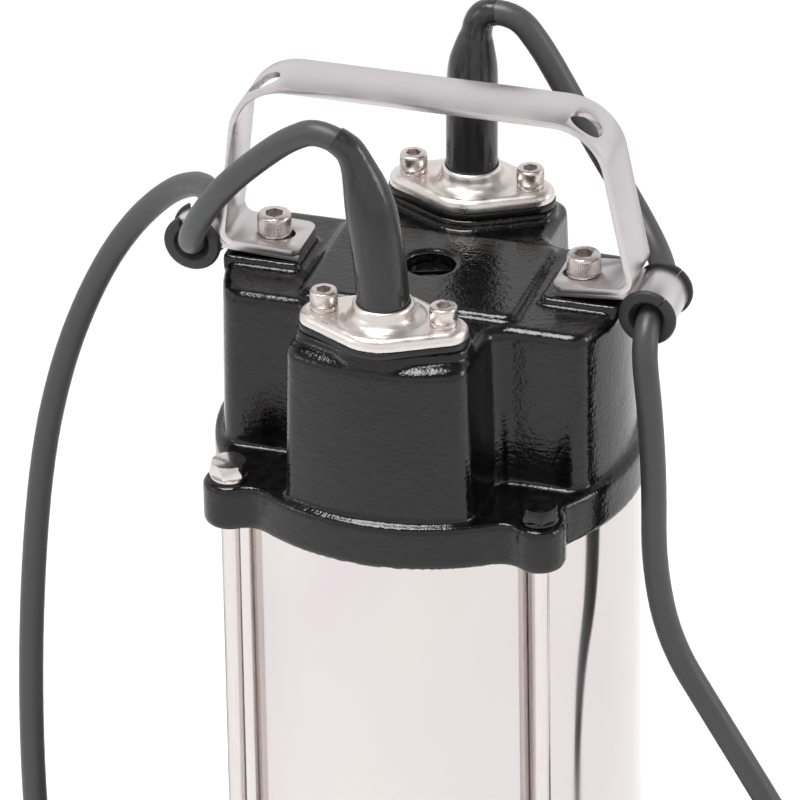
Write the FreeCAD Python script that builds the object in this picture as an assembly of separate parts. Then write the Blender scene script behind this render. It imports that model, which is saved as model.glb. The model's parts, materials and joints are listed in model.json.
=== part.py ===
import FreeCAD, Part
import math
import os
from FreeCAD import Vector

# Submersible sump pump, in millimetres. It stands on the floor at height 0, with its shaft on the Z axis.
# The two cable glands lie along Y, the handle's feet along X, and the discharge elbow rises behind the casing.

# Top cap: a cast iron bell with four lobes on a round rim with four tie rod lugs
RIM_BOTTOM = 366.0
RIM_TOP = 384.5
RIM_RADIUS = 82.5
LUG_RADIUS = 10.0
LUG_BLEND = 8.0
ROD_REACH = 61.0
CAP_TOP = 449.2
LOBE_RADIUS = 78.5
LOBE_HALF_WIDTH = 35.2
LOBE_DRAFT = 2.0
LOBE_CORNER = 8.0
LOBE_EDGE = 4.0
CAP_WALL = 6.0
PANEL_HALF_X = 42.2
PANEL_HALF_Y = 30.0
PANEL_TOP = 451.6
HANDLE_PAD_TOP = 452.2
HANDLE_PAD_INNER = 47.5
HANDLE_PAD_HALF_Y = 13.2
CENTRE_HOLE = (-0.5, 3.6)
CENTRE_HOLE_RADIUS = 9.4
CENTRE_PLUG_TOP = 447.0

# Cable glands: a rhombic flange on a gasket, two screws, a neck that grips the sleeve
GLAND_REACH = 56.8
GLAND_PAD_TOP = 453.2
GLAND_GASKET = 2.4
GLAND_FLANGE = 5.0
GLAND_SCREW_REACH = 23.3
GLAND_TIP_RADIUS = 9.3
GLAND_SIDE_RADIUS = 19.0
GLAND_SIDE_REACH = 1.6
GLAND_PAD_MARGIN = 1.3
NECK_RADIUS = 11.7
NECK_FLARE = 4.4
NECK_HEIGHT = 6.6
NECK_BORE = 10.05
SEAL_BUSH_RADIUS = 13.0
SEAL_BUSH_DEPTH = 14.0
FLANGE_BOTTOM = GLAND_PAD_TOP + GLAND_GASKET
FLANGE_TOP = FLANGE_BOTTOM + GLAND_FLANGE
NECK_TOP = FLANGE_TOP + NECK_HEIGHT

# Screws: metric socket heads, as (shank radius, head radius, head height, socket across flats)
M6_SOCKET = (3.0, 5.3, 6.0, 5.0)
M8_SOCKET = (4.0, 6.5, 8.0, 6.0)
HANDLE_SOCKET = (4.0, 6.5, 7.2, 6.0)
WASHER_M6 = 1.8
WASHER_M8 = 0.4

# Handle: one bent strip, given by the corners of its outer face from foot to foot, as (x, z)
HANDLE_WIDTH = 24.7
HANDLE_THICKNESS = 2.5
HANDLE_TOP = 526.5
HANDLE_FOOT_BEND = 6.5
HANDLE_TOP_BEND = 23.0
HANDLE_SCREW_REACH = 61.0
LEFT_FOOT = {"inner": -47.8, "outer": -79.9, "tilt": 3.0, "shoulder": -72.0}
RIGHT_FOOT = {"inner": 51.8, "outer": 84.4, "tilt": 5.0, "shoulder": 70.8}
FOOT_SLOT_INNER = 8.2
FOOT_SLOT_OUTER = 5.0
EYE_LENGTH = 13.6
EYE_WIDTH = 13.0
# Each eye's middle as (x, y, depth under the handle's top, lean in degrees)
LEFT_EYE = (-62.6, -3.3, 3.6, -32.0)
RIGHT_EYE = (63.4, -3.3, 3.8, 31.0)

# Cable clips under the feet, with a split rubber grommet in each
CLIP_STRIP = 1.25
CLIP_WIDTH = 21.4
CLIP_RING_RADIUS = 8.6
# Each ring's middle as (x, z), and the place along Y where it ends at the back
LEFT_CLIP = (-90.0, 455.1, -1.0)
RIGHT_CLIP = (89.0, 449.1, 10.7)
GROMMET_FLANGE_RADIUS = 11.2
GROMMET_GROOVE_RADIUS = 8.6
GROMMET_FLANGE = 2.15
GROMMET_MOUTH = (2.2, 3.0)
# Angle and width of the slit in each grommet
LEFT_SLIT = (98.0, 7.0)
RIGHT_SLIT = (52.0, 0.3)

# Cables
CORD_RADIUS = 4.9
CORD_SIDES = 8
COIL_SIDES = 6
# Height of a cable that lies on the floor
CORD_REST = 5.4
SLEEVE_RADIUS = 9.95

# Motor, from the top bearing bracket down to the oil chamber
SHELL_RADIUS = 80.3
SHELL_WALL = 1.5
SHELL_TOP = 369.5
SHELL_BOTTOM = 156.5
ROD_RADIUS = 3.6
ROD_HEAD = (13.0, 5.3)
ROD_WASHER = (8.3, 1.8)
ROD_BOTTOM = 136.5
STATOR_BOTTOM = 195.0
STATOR_TOP = 295.0
STATOR_BORE = 42.4
SLOT_COUNT = 24
ROTOR_RADIUS = 42.0
BRACKET_BOTTOM = 344.0
BRACKET_TOP = 366.0
UPPER_BEARING = {"bore": 8.5, "outer": 20.0, "bottom": 346.0, "top": 358.0}
LOWER_BEARING = {"bore": 10.0, "outer": 26.0, "bottom": 153.0, "top": 168.0}
OIL_TOP = 160.0
OIL_BOTTOM = 112.0

# Pump end: impeller, seals, spiral casing, suction plate and discharge elbow
IMPELLER_RADIUS = 56.0
IMPELLER_BOTTOM = 52.8
IMPELLER_VANES = 3
# Each vane is an arc about a centre off the shaft, swept back against the turning
VANE_CENTRE = (-18.3, 15.3)
VANE_RADIUS = 38.0
VANE_THICKNESS = 5.5
VANE_ANGLES = (-30.0, 96.0)
CASING_BOTTOM = 44.0
CASING_TOP = 112.0
CASING_WALL = 8.0
CASING_OPENING = 62.0
SUCTION_OPENING = 50.0
INLET_RADIUS = 30.0
# Each quarter of the spiral is an arc with its own centre and radius, from the tongue to the outlet
SPIRAL_ARCS = (((4.0, 4.0), 60.0), ((4.0, -4.0), 68.0), ((-4.0, -4.0), 76.0), ((-4.0, 4.0), 84.0))
CASING_SCREW_SEAT = 120.2
CASING_SCREW_REACH = 76.0
OUTLET_X = -63.0
OUTLET_Z = 77.0
OUTLET_RADIUS = 25.0
OUTLET_FACE = 118.0
LEG_REACH = 59.5
LEG_RADIUS = 10.5
LEG_STUD = (5.0, 6.5)
FOOT_RADIUS = 15.0
ELBOW_BEND = 42.0
ELBOW_OUTER = 31.0
ELBOW_TOP = 195.0
ELBOW_THREAD_RADIUS = 28.3
ELBOW_THREAD_LENGTH = 24.0

# Put-away length of the mains cable: a coil of four layers behind the pump
COIL_CENTRE = (40.0, 208.0)
COIL_RADIUS = 76.1
COIL_LOOPS = 3
COIL_LAYERS = 4
COIL_PITCH = 11.5

# Routes of the cables' centres, from the tips of the rubber sleeves
MAINS_ROUTE = [
    (-13.5, -57.0, 529.9), (-23.6, -56.2, 535.0), (-36.0, -54.0, 528.6),
    (-49.0, -50.2, 516.8), (-64.4, -44.5, 500.6), (-77.4, -36.0, 482.0), (-86.8, -24.5, 463.6),
    (-90.0, -11.0, 454.6), (-90.0, 9.0, 456.0), (-94.0, 24.0, 458.4), (-104.5, 37.0, 454.2),
    (-122.0, 52.0, 440.0), (-143.0, 63.0, 414.5), (-159.5, 67.5, 385.0), (-172.0, 64.5, 351.0),
    (-180.0, 58.0, 310.0), (-182.6, 47.0, 252.0), (-180.5, 34.0, 190.0), (-175.5, 26.0, 130.0),
    (-170.0, 30.0, 78.0), (-160.0, 47.0, 36.0), (-145.0, 75.0, 9.5), (-122.0, 106.0, CORD_REST),
    (-88.0, 125.5, CORD_REST), (-44.0, 133.6, CORD_REST), (0.0, 131.2, CORD_REST),
    (COIL_CENTRE[0], COIL_CENTRE[1] - COIL_RADIUS, CORD_REST),
]
FLOAT_ROUTE = [
    (8.0, 57.0, 532.6), (17.6, 57.0, 533.8), (27.6, 57.0, 521.6),
    (38.0, 57.0, 503.0), (49.6, 56.0, 483.0), (62.6, 51.6, 466.0), (75.5, 40.5, 454.8), (85.6, 25.0, 449.8),
    (89.0, 8.0, 449.2), (89.2, -10.0, 448.8), (90.2, -21.4, 439.6), (92.8, -22.4, 418.0),
    (94.6, -22.2, 385.0), (94.2, -22.0, 349.0), (100.5, -22.0, 316.0), (117.0, -22.2, 288.5),
    (139.0, -22.0, 252.0), (164.0, -20.0, 207.0), (186.0, -15.0, 158.0), (201.0, -4.0, 108.0),
    (208.5, 15.0, 62.0), (208.0, 44.0, 27.0), (201.5, 76.0, 12.0), (197.0, 104.0, 18.0), (196.0, 125.0, 21.0),
]
# Rubber sleeves that stand in the glands and narrow onto the cables, as (x, y, z, radius)
FRONT_SLEEVE = [
    (0.0, -56.8, 446.0, SLEEVE_RADIUS), (0.0, -56.8, 468.0, SLEEVE_RADIUS), (-1.4, -57.0, 487.0, SLEEVE_RADIUS),
    (-4.0, -57.0, 504.0, 9.8), (-6.2, -57.0, 513.5, 8.6), (-8.6, -57.0, 521.5, 6.9), (-10.9, -57.0, 526.6, 5.9),
    (-13.5, -57.0, 529.9, 5.3),
]
REAR_SLEEVE = [
    (0.0, 56.8, 446.0, SLEEVE_RADIUS), (0.0, 56.8, 470.0, SLEEVE_RADIUS), (0.3, 57.0, 494.0, SLEEVE_RADIUS),
    (0.7, 57.0, 509.0, 9.8), (1.3, 57.0, 517.0, 8.0), (2.2, 57.0, 524.0, 6.3), (4.0, 57.0, 529.4, 5.6),
    (8.0, 57.0, 532.6, 5.2),
]
TAIL_ROUTE = [
    (COIL_CENTRE[0], COIL_CENTRE[1] + COIL_RADIUS, CORD_REST + 3.0 * COIL_PITCH),
    (20.0, 284.3, 39.9), (-4.0, 283.4, 37.2), (-30.0, 279.0, 28.0), (-54.0, 271.4, 20.4), (-76.0, 263.0, 19.0),
]

# Mains plug and float switch
PLUG_RADIUS = 18.6
PLUG_LENGTH = 46.0
PLUG_PIN = (2.4, 19.0, 19.0)
FLOAT_CENTRE = (196.0, 180.0)
FLOAT_LENGTH = 110.0
FLOAT_WIDTH = 74.0
FLOAT_HEIGHT = 42.0
FLOAT_WALL = 2.5
BALL_RADIUS = 9.0
BALL_TRAVEL = 34.0

NODES = {}


def add(name, shape):
    NODES[name] = shape


def merge(shapes):
    result = shapes[0]
    if len(shapes) > 1:
        result = result.fuse(shapes[1:])
    return result.removeSplitter()


# Separate solids that share a node
def group(shapes):
    return Part.makeCompound(shapes)


def cylinder(radius, bottom, top, x=0.0, y=0.0):
    return Part.makeCylinder(radius, top - bottom, Vector(x, y, bottom))


def ring(outer, inner, bottom, top, x=0.0, y=0.0):
    return cylinder(outer, bottom, top, x, y).cut(cylinder(inner, bottom - 1.0, top + 1.0, x, y))


# A lathe profile of (radius, height) corners, turned about an upright axis
def turned(profile, x=0.0, y=0.0):
    corners = [Vector(x + radius, y, height) for radius, height in profile]
    face = Part.Face(Part.makePolygon(corners + corners[:1]))
    return face.revolve(Vector(x, y, 0.0), Vector(0.0, 0.0, 1.0), 360.0)


def block(low, high):
    size = [b - a for a, b in zip(low, high)]
    return Part.makeBox(size[0], size[1], size[2], Vector(low[0], low[1], low[2]))


def prism(wire, height):
    return Part.Face(wire).extrude(Vector(0.0, 0.0, height))


def turn_about_z(shape, angle, x=0.0, y=0.0):
    turned_shape = shape.copy()
    turned_shape.rotate(Vector(x, y, 0.0), Vector(0.0, 0.0, 1.0), angle)
    return turned_shape


def moved(shape, x=0.0, y=0.0, z=0.0):
    result = shape.copy()
    result.translate(Vector(x, y, z))
    return result


# Start, middle and end of the arc that rounds a corner
def corner_arc(before, corner, after, radius):
    back = (before - corner).normalize()
    ahead = (after - corner).normalize()
    half_angle = back.getAngle(ahead) / 2.0
    reach = radius / math.tan(half_angle)
    inward = (back + ahead).normalize()
    centre = corner + inward * (radius / math.sin(half_angle))
    return corner + back * reach, centre - inward * radius, corner + ahead * reach


# Edges along an open line of corners, each rounded by its own radius
def rounded_edges(corners, radii):
    edges = []
    start = corners[0]
    for index in range(1, len(corners) - 1):
        if radii[index - 1] <= 0.0:
            edges.append(Part.LineSegment(start, corners[index]).toShape())
            start = corners[index]
            continue
        first, middle, last = corner_arc(corners[index - 1], corners[index], corners[index + 1], radii[index - 1])
        edges.append(Part.LineSegment(start, first).toShape())
        edges.append(Part.Arc(first, middle, last).toShape())
        start = last
    edges.append(Part.LineSegment(start, corners[-1]).toShape())
    return edges


# A closed outline in the plane of the floor, with every corner rounded alike
def rounded_outline(corners, radius, height=0.0):
    points = [Vector(x, y, height) for x, y in corners]
    middle = (points[0] + points[-1]) * 0.5
    closed = [middle] + points + [middle]
    return Part.Wire(rounded_edges(closed, [radius] * len(points)))


def rounded_box(half_x, half_y, radius, bottom, top, x=0.0, y=0.0):
    corners = [(x - half_x, y - half_y), (x + half_x, y - half_y), (x + half_x, y + half_y), (x - half_x, y + half_y)]
    return prism(rounded_outline(corners, radius, bottom), top - bottom)


# Outline drawn tight round circles given anticlockwise as (x, y, radius)
def belt_outline(circles, height=0.0):
    edges = []
    joints = []
    count = len(circles)
    for index in range(count):
        x0, y0, r0 = circles[index]
        x1, y1, r1 = circles[(index + 1) % count]
        direction = math.atan2(y1 - y0, x1 - x0)
        lean = math.acos((r0 - r1) / math.hypot(x1 - x0, y1 - y0))
        normal = direction - lean
        across = (math.cos(normal), math.sin(normal))
        leave = Vector(x0 + across[0] * r0, y0 + across[1] * r0, height)
        arrive = Vector(x1 + across[0] * r1, y1 + across[1] * r1, height)
        joints.append((leave, arrive))
    for index in range(count):
        leave, arrive = joints[index]
        edges.append(Part.LineSegment(leave, arrive).toShape())
        x1, y1, r1 = circles[(index + 1) % count]
        next_leave = joints[(index + 1) % count][0]
        outward = ((arrive + next_leave) * 0.5 - Vector(x1, y1, height)).normalize()
        edges.append(Part.Arc(arrive, Vector(x1, y1, height) + outward * r1, next_leave).toShape())
    return Part.Wire(edges)


def edges_at(shape, height, tolerance=0.01):
    found = []
    for edge in shape.Edges:
        box = edge.BoundBox
        if abs(box.ZMin - height) < tolerance and abs(box.ZMax - height) < tolerance:
            found.append(edge)
    return found


def polar(radius, angle, height=0.0, centre=(0.0, 0.0)):
    turn = math.radians(angle)
    return Vector(centre[0] + radius * math.cos(turn), centre[1] + radius * math.sin(turn), height)


def arc_edge(centre, radius, start, end, height):
    middle = (start + end) / 2.0
    return Part.Arc(polar(radius, start, height, centre), polar(radius, middle, height, centre),
                    polar(radius, end, height, centre)).toShape()


# Socket head screw, upright, with its head resting at the given height
def socket_screw(size, seat, length, x, y):
    shank, head, tall, flats = size
    body = cylinder(head, seat, seat + tall, x, y).fuse(cylinder(shank, seat - length, seat + 0.5, x, y))
    return body.cut(hexagon(flats, seat + tall * 0.45, seat + tall + 1.0, x, y)).removeSplitter()


def hexagon(flats, bottom, top, x, y, turn=0.0):
    radius = flats / math.sqrt(3.0)
    corners = [polar(radius, 60.0 * step + turn, bottom, (x, y)) for step in range(7)]
    corners[6] = corners[0]
    return prism(Part.makePolygon(corners), top - bottom)


# Cap

# One quarter of the plan view of the lobes, from the middle of one lobe to the middle of the next
def lobe_outline(half_width, radius, corner, height):
    edges = []
    reach = math.sqrt((radius - corner) ** 2 - (half_width - corner) ** 2)
    tip = math.degrees(math.atan2(half_width - corner, reach))
    for step in range(4):
        turn = 90.0 * step
        edges.append(arc_edge((0.0, 0.0), radius, turn - tip, turn + tip, height))
        centre = polar(math.hypot(reach, half_width - corner), turn + tip)
        edges.append(arc_edge((centre.x, centre.y), corner, turn + tip, turn + 90.0, height))
        inner = polar(math.hypot(half_width + corner, half_width + corner), turn + 45.0)
        side_start = turn_point(reach, half_width, turn, height)
        side_end = turn_point(half_width + corner, half_width, turn, height)
        edges.append(Part.LineSegment(side_start, side_end).toShape())
        edges.append(arc_edge((inner.x, inner.y), corner, turn + 270.0, turn + 180.0, height))
        next_start = turn_point(half_width, half_width + corner, turn, height)
        next_end = turn_point(half_width, reach, turn, height)
        edges.append(Part.LineSegment(next_start, next_end).toShape())
        across = polar(math.hypot(reach, half_width - corner), turn + 90.0 - tip)
        edges.append(arc_edge((across.x, across.y), corner, turn, turn + 90.0 - tip, height))
    return Part.Wire(edges)


def turn_point(x, y, angle, height):
    reach = math.hypot(x, y)
    return polar(reach, math.degrees(math.atan2(y, x)) + angle, height)


# Plan view of a round flange with the four tie rod lugs
def lugged_outline(radius, height):
    edges = []
    lug_distance = math.hypot(ROD_REACH, ROD_REACH)
    blend_distance = radius + LUG_BLEND
    side = LUG_RADIUS + LUG_BLEND
    cosine = (lug_distance ** 2 + blend_distance ** 2 - side ** 2) / (2.0 * lug_distance * blend_distance)
    spread = math.degrees(math.acos(cosine))
    for step in range(4):
        middle = 45.0 + 90.0 * step
        lug = polar(lug_distance, middle)
        for side_sign in (-1.0, 1.0):
            blend = polar(blend_distance, middle + side_sign * spread)
            to_lug = math.degrees(math.atan2(lug.y - blend.y, lug.x - blend.x))
            to_centre = middle + side_sign * spread + 180.0
            to_lug = to_centre + (to_lug - to_centre + 180.0) % 360.0 - 180.0
            edge = arc_edge((blend.x, blend.y), LUG_BLEND, to_centre, to_lug, height)
            edges.append(edge)
            if side_sign < 0.0:
                lug_start = to_lug + 180.0
                half = (middle - lug_start + 180.0) % 360.0 - 180.0
                edges.append(arc_edge((lug.x, lug.y), LUG_RADIUS, lug_start, lug_start + 2.0 * half, height))
        edges.append(arc_edge((0.0, 0.0), radius, middle + spread, middle + 90.0 - spread, height))
    return Part.Wire(Part.__sortEdges__(edges))


def gland_circles(margin=0.0, y=0.0):
    tip = GLAND_TIP_RADIUS + margin
    side = GLAND_SIDE_RADIUS + margin
    return [(GLAND_SCREW_REACH, y, tip), (0.0, y + GLAND_SIDE_REACH, side),
            (-GLAND_SCREW_REACH, y, tip), (0.0, y - GLAND_SIDE_REACH, side)]


def cap_bell():
    lower = lobe_outline(LOBE_HALF_WIDTH + LOBE_DRAFT, LOBE_RADIUS + 0.6, LOBE_CORNER, RIM_BOTTOM + 6.0)
    upper = lobe_outline(LOBE_HALF_WIDTH, LOBE_RADIUS - 0.6, LOBE_CORNER, CAP_TOP)
    bell = Part.makeLoft([lower, upper], True, True)
    bell = bell.makeFillet(LOBE_EDGE, edges_at(bell, CAP_TOP))
    rim = prism(lugged_outline(RIM_RADIUS, RIM_BOTTOM), RIM_TOP - RIM_BOTTOM)
    rim = rim.makeChamfer(1.6, edges_at(rim, RIM_BOTTOM))
    rim = rim.makeChamfer(1.2, edges_at(rim, RIM_TOP))
    return rim.fuse(bell).removeSplitter()


def cap_pads():
    pads = [rounded_box(PANEL_HALF_X, PANEL_HALF_Y, 4.0, CAP_TOP - 3.0, PANEL_TOP)]
    pads[0] = pads[0].makeChamfer(0.9, edges_at(pads[0], PANEL_TOP))
    for side in (-1.0, 1.0):
        outer = LOBE_RADIUS - 0.4
        half_x = (outer - HANDLE_PAD_INNER) / 2.0
        pad = rounded_box(half_x, HANDLE_PAD_HALF_Y, 2.0, CAP_TOP - 3.0, HANDLE_PAD_TOP,
                          side * (HANDLE_PAD_INNER + half_x))
        pads.append(pad.makeChamfer(0.6, edges_at(pad, HANDLE_PAD_TOP)))
        gland = prism(belt_outline(gland_circles(GLAND_PAD_MARGIN, side * GLAND_REACH), CAP_TOP - 12.0),
                      GLAND_PAD_TOP - CAP_TOP + 12.0)
        gland = gland.common(cylinder(LOBE_RADIUS - 1.2, CAP_TOP - 12.0, GLAND_PAD_TOP))
        pads.append(gland.makeFillet(1.0, edges_at(gland, GLAND_PAD_TOP)))
    return pads


def cap_hollow():
    wall = CAP_WALL
    ceiling = CAP_TOP - wall
    outline = lobe_outline(LOBE_HALF_WIDTH - wall, LOBE_RADIUS - wall - 0.6, LOBE_CORNER + 2.0, RIM_BOTTOM - 1.0)
    hollow = prism(outline, ceiling - RIM_BOTTOM + 1.0)
    bosses = []
    for side in (-1.0, 1.0):
        bosses.append(cylinder(9.0, ceiling - 16.0, ceiling + 1.0, side * HANDLE_SCREW_REACH))
        bosses.append(cylinder(SEAL_BUSH_RADIUS + 4.0, ceiling - 8.0, ceiling + 1.0, 0.0, side * GLAND_REACH))
        for end in (-1.0, 1.0):
            bosses.append(cylinder(6.5, ceiling - 10.0, ceiling + 1.0, end * GLAND_SCREW_REACH, side * GLAND_REACH))
    bosses.append(cylinder(CENTRE_HOLE_RADIUS + 5.0, ceiling - 8.0, ceiling + 1.0, CENTRE_HOLE[0], CENTRE_HOLE[1]))
    return hollow.cut(bosses)


def top_cap():
    body = merge([cap_bell()] + cap_pads())
    cuts = [cap_hollow()]
    cuts.append(ring(SHELL_RADIUS + 0.2, SHELL_RADIUS - SHELL_WALL - 0.2, RIM_BOTTOM - 1.0, SHELL_TOP))
    cuts.append(cylinder(CENTRE_HOLE_RADIUS, CAP_TOP - 20.0, PANEL_TOP + 1.0, CENTRE_HOLE[0], CENTRE_HOLE[1]))
    for x in (-ROD_REACH, ROD_REACH):
        for y in (-ROD_REACH, ROD_REACH):
            cuts.append(cylinder(ROD_RADIUS + 0.6, RIM_BOTTOM - 1.0, RIM_TOP + 1.0, x, y))
            cuts.append(cylinder(ROD_WASHER[0] + 0.9, RIM_TOP - 0.02, RIM_TOP + ROD_WASHER[1] + 12.0, x, y))
    for side in (-1.0, 1.0):
        cuts.append(cylinder(M8_SOCKET[0], CAP_TOP - 18.0, HANDLE_PAD_TOP + 1.0, side * HANDLE_SCREW_REACH))
        seat = FLANGE_BOTTOM - SEAL_BUSH_DEPTH
        cuts.append(cylinder(SEAL_BUSH_RADIUS, seat, GLAND_PAD_TOP + 1.0, 0.0, side * GLAND_REACH))
        cuts.append(cylinder(SLEEVE_RADIUS + 0.6, CAP_TOP - 20.0, seat + 1.0, 0.0, side * GLAND_REACH))
        for end in (-1.0, 1.0):
            cuts.append(cylinder(M6_SOCKET[0], CAP_TOP - 14.0, GLAND_PAD_TOP + 1.0,
                                 end * GLAND_SCREW_REACH, side * GLAND_REACH))
    return body.cut(cuts).removeSplitter()


def centre_plug():
    x, y = CENTRE_HOLE
    body = cylinder(CENTRE_HOLE_RADIUS, CENTRE_PLUG_TOP - 10.0, CENTRE_PLUG_TOP, x, y)
    body = body.makeChamfer(0.8, edges_at(body, CENTRE_PLUG_TOP))
    slot = block((x - 12.0, y - 1.3, CENTRE_PLUG_TOP - 2.5), (x + 12.0, y + 1.3, CENTRE_PLUG_TOP + 1.0))
    return body.cut(turn_about_z(slot, 20.0, x, y))


def gland_flange(side):
    y = side * GLAND_REACH
    plate = prism(belt_outline(gland_circles(0.0, y), FLANGE_BOTTOM), GLAND_FLANGE)
    plate = plate.makeFillet(3.2, edges_at(plate, FLANGE_TOP))
    neck = turned([(NECK_BORE, FLANGE_BOTTOM), (NECK_RADIUS + NECK_FLARE, FLANGE_BOTTOM),
                   (NECK_RADIUS + NECK_FLARE, FLANGE_TOP), (NECK_RADIUS + 1.8, FLANGE_TOP + 1.0),
                   (NECK_RADIUS + 0.3, FLANGE_TOP + 2.8), (NECK_RADIUS, NECK_TOP - 1.0),
                   (NECK_RADIUS - 0.8, NECK_TOP), (NECK_BORE, NECK_TOP)], 0.0, y)
    cuts = [cylinder(NECK_BORE, FLANGE_BOTTOM - 1.0, NECK_TOP + 1.0, 0.0, y)]
    for end in (-1.0, 1.0):
        cuts.append(cylinder(M6_SOCKET[0] + 0.3, FLANGE_BOTTOM - 1.0, FLANGE_TOP + 1.0, end * GLAND_SCREW_REACH, y))
    return plate.fuse(neck).cut(cuts).removeSplitter()


def gland_gasket(side):
    y = side * GLAND_REACH
    sheet = prism(belt_outline(gland_circles(0.4, y), GLAND_PAD_TOP), GLAND_GASKET)
    cuts = [cylinder(SEAL_BUSH_RADIUS, GLAND_PAD_TOP - 1.0, FLANGE_BOTTOM + 1.0, 0.0, y)]
    for end in (-1.0, 1.0):
        cuts.append(cylinder(M6_SOCKET[0] + 0.3, GLAND_PAD_TOP - 1.0, FLANGE_BOTTOM + 1.0, end * GLAND_SCREW_REACH, y))
    return sheet.cut(cuts)


def glands():
    add("gland_flange_front", gland_flange(-1.0))
    add("gland_flange_rear", gland_flange(1.0))
    gaskets = []
    seals = []
    screws = []
    washers = []
    for side in (-1.0, 1.0):
        y = side * GLAND_REACH
        gaskets.append(gland_gasket(side))
        seals.append(ring(SEAL_BUSH_RADIUS, SLEEVE_RADIUS, FLANGE_BOTTOM - SEAL_BUSH_DEPTH, FLANGE_BOTTOM, 0.0, y))
        for end in (-1.0, 1.0):
            x = end * GLAND_SCREW_REACH
            washers.append(ring(M6_SOCKET[1], M6_SOCKET[0] + 0.15, FLANGE_TOP, FLANGE_TOP + WASHER_M6, x, y))
            screws.append(socket_screw(M6_SOCKET, FLANGE_TOP + WASHER_M6, 20.0, x, y))
    add("gland_gaskets", group(gaskets))
    add("cable_seals", group(seals))
    add("gland_screws", group(screws))
    add("gland_washers", group(washers))


# Handle and what is under its feet
def foot_bottom(foot, x):
    lift = abs(x - foot["inner"]) * math.tan(math.radians(foot["tilt"]))
    return HANDLE_PAD_TOP + 2.0 * CLIP_STRIP + 0.05 + lift


# Corners of a line moved sideways by a distance, to the right of its direction
def offset_line(corners, distance):
    result = []
    normals = []
    for start, end in zip(corners, corners[1:]):
        run = (end - start).normalize()
        normals.append(Vector(run.z, 0.0, -run.x))
    result.append(corners[0] + normals[0] * distance)
    for index in range(1, len(corners) - 1):
        middle = (normals[index - 1] + normals[index]).normalize()
        result.append(corners[index] + middle * (distance / middle.dot(normals[index])))
    result.append(corners[-1] + normals[-1] * distance)
    return result


def handle_strip():
    outer = [Vector(LEFT_FOOT["inner"], 0.0, foot_bottom(LEFT_FOOT, LEFT_FOOT["inner"])),
             Vector(LEFT_FOOT["outer"], 0.0, foot_bottom(LEFT_FOOT, LEFT_FOOT["outer"])),
             Vector(LEFT_FOOT["shoulder"], 0.0, HANDLE_TOP), Vector(RIGHT_FOOT["shoulder"], 0.0, HANDLE_TOP),
             Vector(RIGHT_FOOT["outer"], 0.0, foot_bottom(RIGHT_FOOT, RIGHT_FOOT["outer"])),
             Vector(RIGHT_FOOT["inner"], 0.0, foot_bottom(RIGHT_FOOT, RIGHT_FOOT["inner"]))]
    bends = [HANDLE_FOOT_BEND, HANDLE_TOP_BEND, HANDLE_TOP_BEND, HANDLE_FOOT_BEND]
    inner = offset_line(outer, HANDLE_THICKNESS)
    edges = rounded_edges(outer, bends)
    edges.append(Part.LineSegment(outer[-1], inner[-1]).toShape())
    edges += rounded_edges(inner[::-1], [bend - HANDLE_THICKNESS for bend in bends[::-1]])
    edges.append(Part.LineSegment(inner[0], outer[0]).toShape())
    face = Part.Face(Part.Wire(Part.__sortEdges__(edges)))
    strip = face.extrude(Vector(0.0, HANDLE_WIDTH, 0.0))
    strip.translate(Vector(0.0, -HANDLE_WIDTH / 2.0, 0.0))
    return strip


# Oblong hole along X, upright, from the bottom height to the top
def oblong(x_low, x_high, width, bottom, top):
    radius = width / 2.0
    middle = block((x_low + radius, -radius, bottom), (x_high - radius, radius, top))
    ends = [cylinder(radius, bottom, top, x_low + radius), cylinder(radius, bottom, top, x_high - radius)]
    return middle.fuse(ends).removeSplitter()


def handle():
    strip = handle_strip()
    cuts = []
    for foot, side in ((LEFT_FOOT, -1.0), (RIGHT_FOOT, 1.0)):
        screw = side * HANDLE_SCREW_REACH
        inner = screw - side * FOOT_SLOT_INNER
        outer = screw + side * FOOT_SLOT_OUTER
        cuts.append(oblong(min(inner, outer), max(inner, outer), 2.0 * M8_SOCKET[0] + 0.8, 445.0, 462.0))
        for edge in (-1.0, 1.0):
            corner = rounded_box(10.0, 10.0, 4.0, 445.0, 462.0)
            end = foot["inner"]
            notch = block((end - 4.0, HANDLE_WIDTH / 2.0 - 4.0, 445.0), (end + 4.0, HANDLE_WIDTH / 2.0 + 1.0, 462.0))
            corner = moved(corner, end + side * 10.0, HANDLE_WIDTH / 2.0 - 10.0)
            notch = notch.cut(corner)
            if edge < 0.0:
                notch = notch.mirror(Vector(0.0, 0.0, 0.0), Vector(0.0, 1.0, 0.0))
            cuts.append(notch)
    for x, y, depth, lean in (LEFT_EYE, RIGHT_EYE):
        eye = oblong(-EYE_LENGTH / 2.0, EYE_LENGTH / 2.0, EYE_WIDTH, -12.0, 12.0)
        eye.rotate(Vector(0.0, 0.0, 0.0), Vector(0.0, 1.0, 0.0), lean)
        cuts.append(moved(eye, x, y, HANDLE_TOP - depth))
    return strip.cut(cuts).removeSplitter()


def handle_fasteners():
    screws = []
    washers = []
    for foot, side in ((LEFT_FOOT, -1.0), (RIGHT_FOOT, 1.0)):
        x = side * HANDLE_SCREW_REACH
        seat = foot_bottom(foot, x) + HANDLE_THICKNESS + 0.15
        rise = math.tan(math.radians(foot["tilt"])) * M8_SOCKET[1]
        top = seat + rise + WASHER_M8
        washer = ring(M8_SOCKET[1], M8_SOCKET[0] + 0.2, seat - rise - 1.0, top, x)
        below = block((-20.0, -20.0, -20.0), (20.0, 20.0, 0.0))
        below.rotate(Vector(0.0, 0.0, 0.0), Vector(0.0, 1.0, 0.0), -side * foot["tilt"])
        washers.append(washer.cut(moved(below, x, 0.0, seat)))
        screws.append(socket_screw(HANDLE_SOCKET, top, 24.0, x, 0.0))
    add("handle_screws", group(screws))
    add("handle_washers", group(washers))


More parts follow.
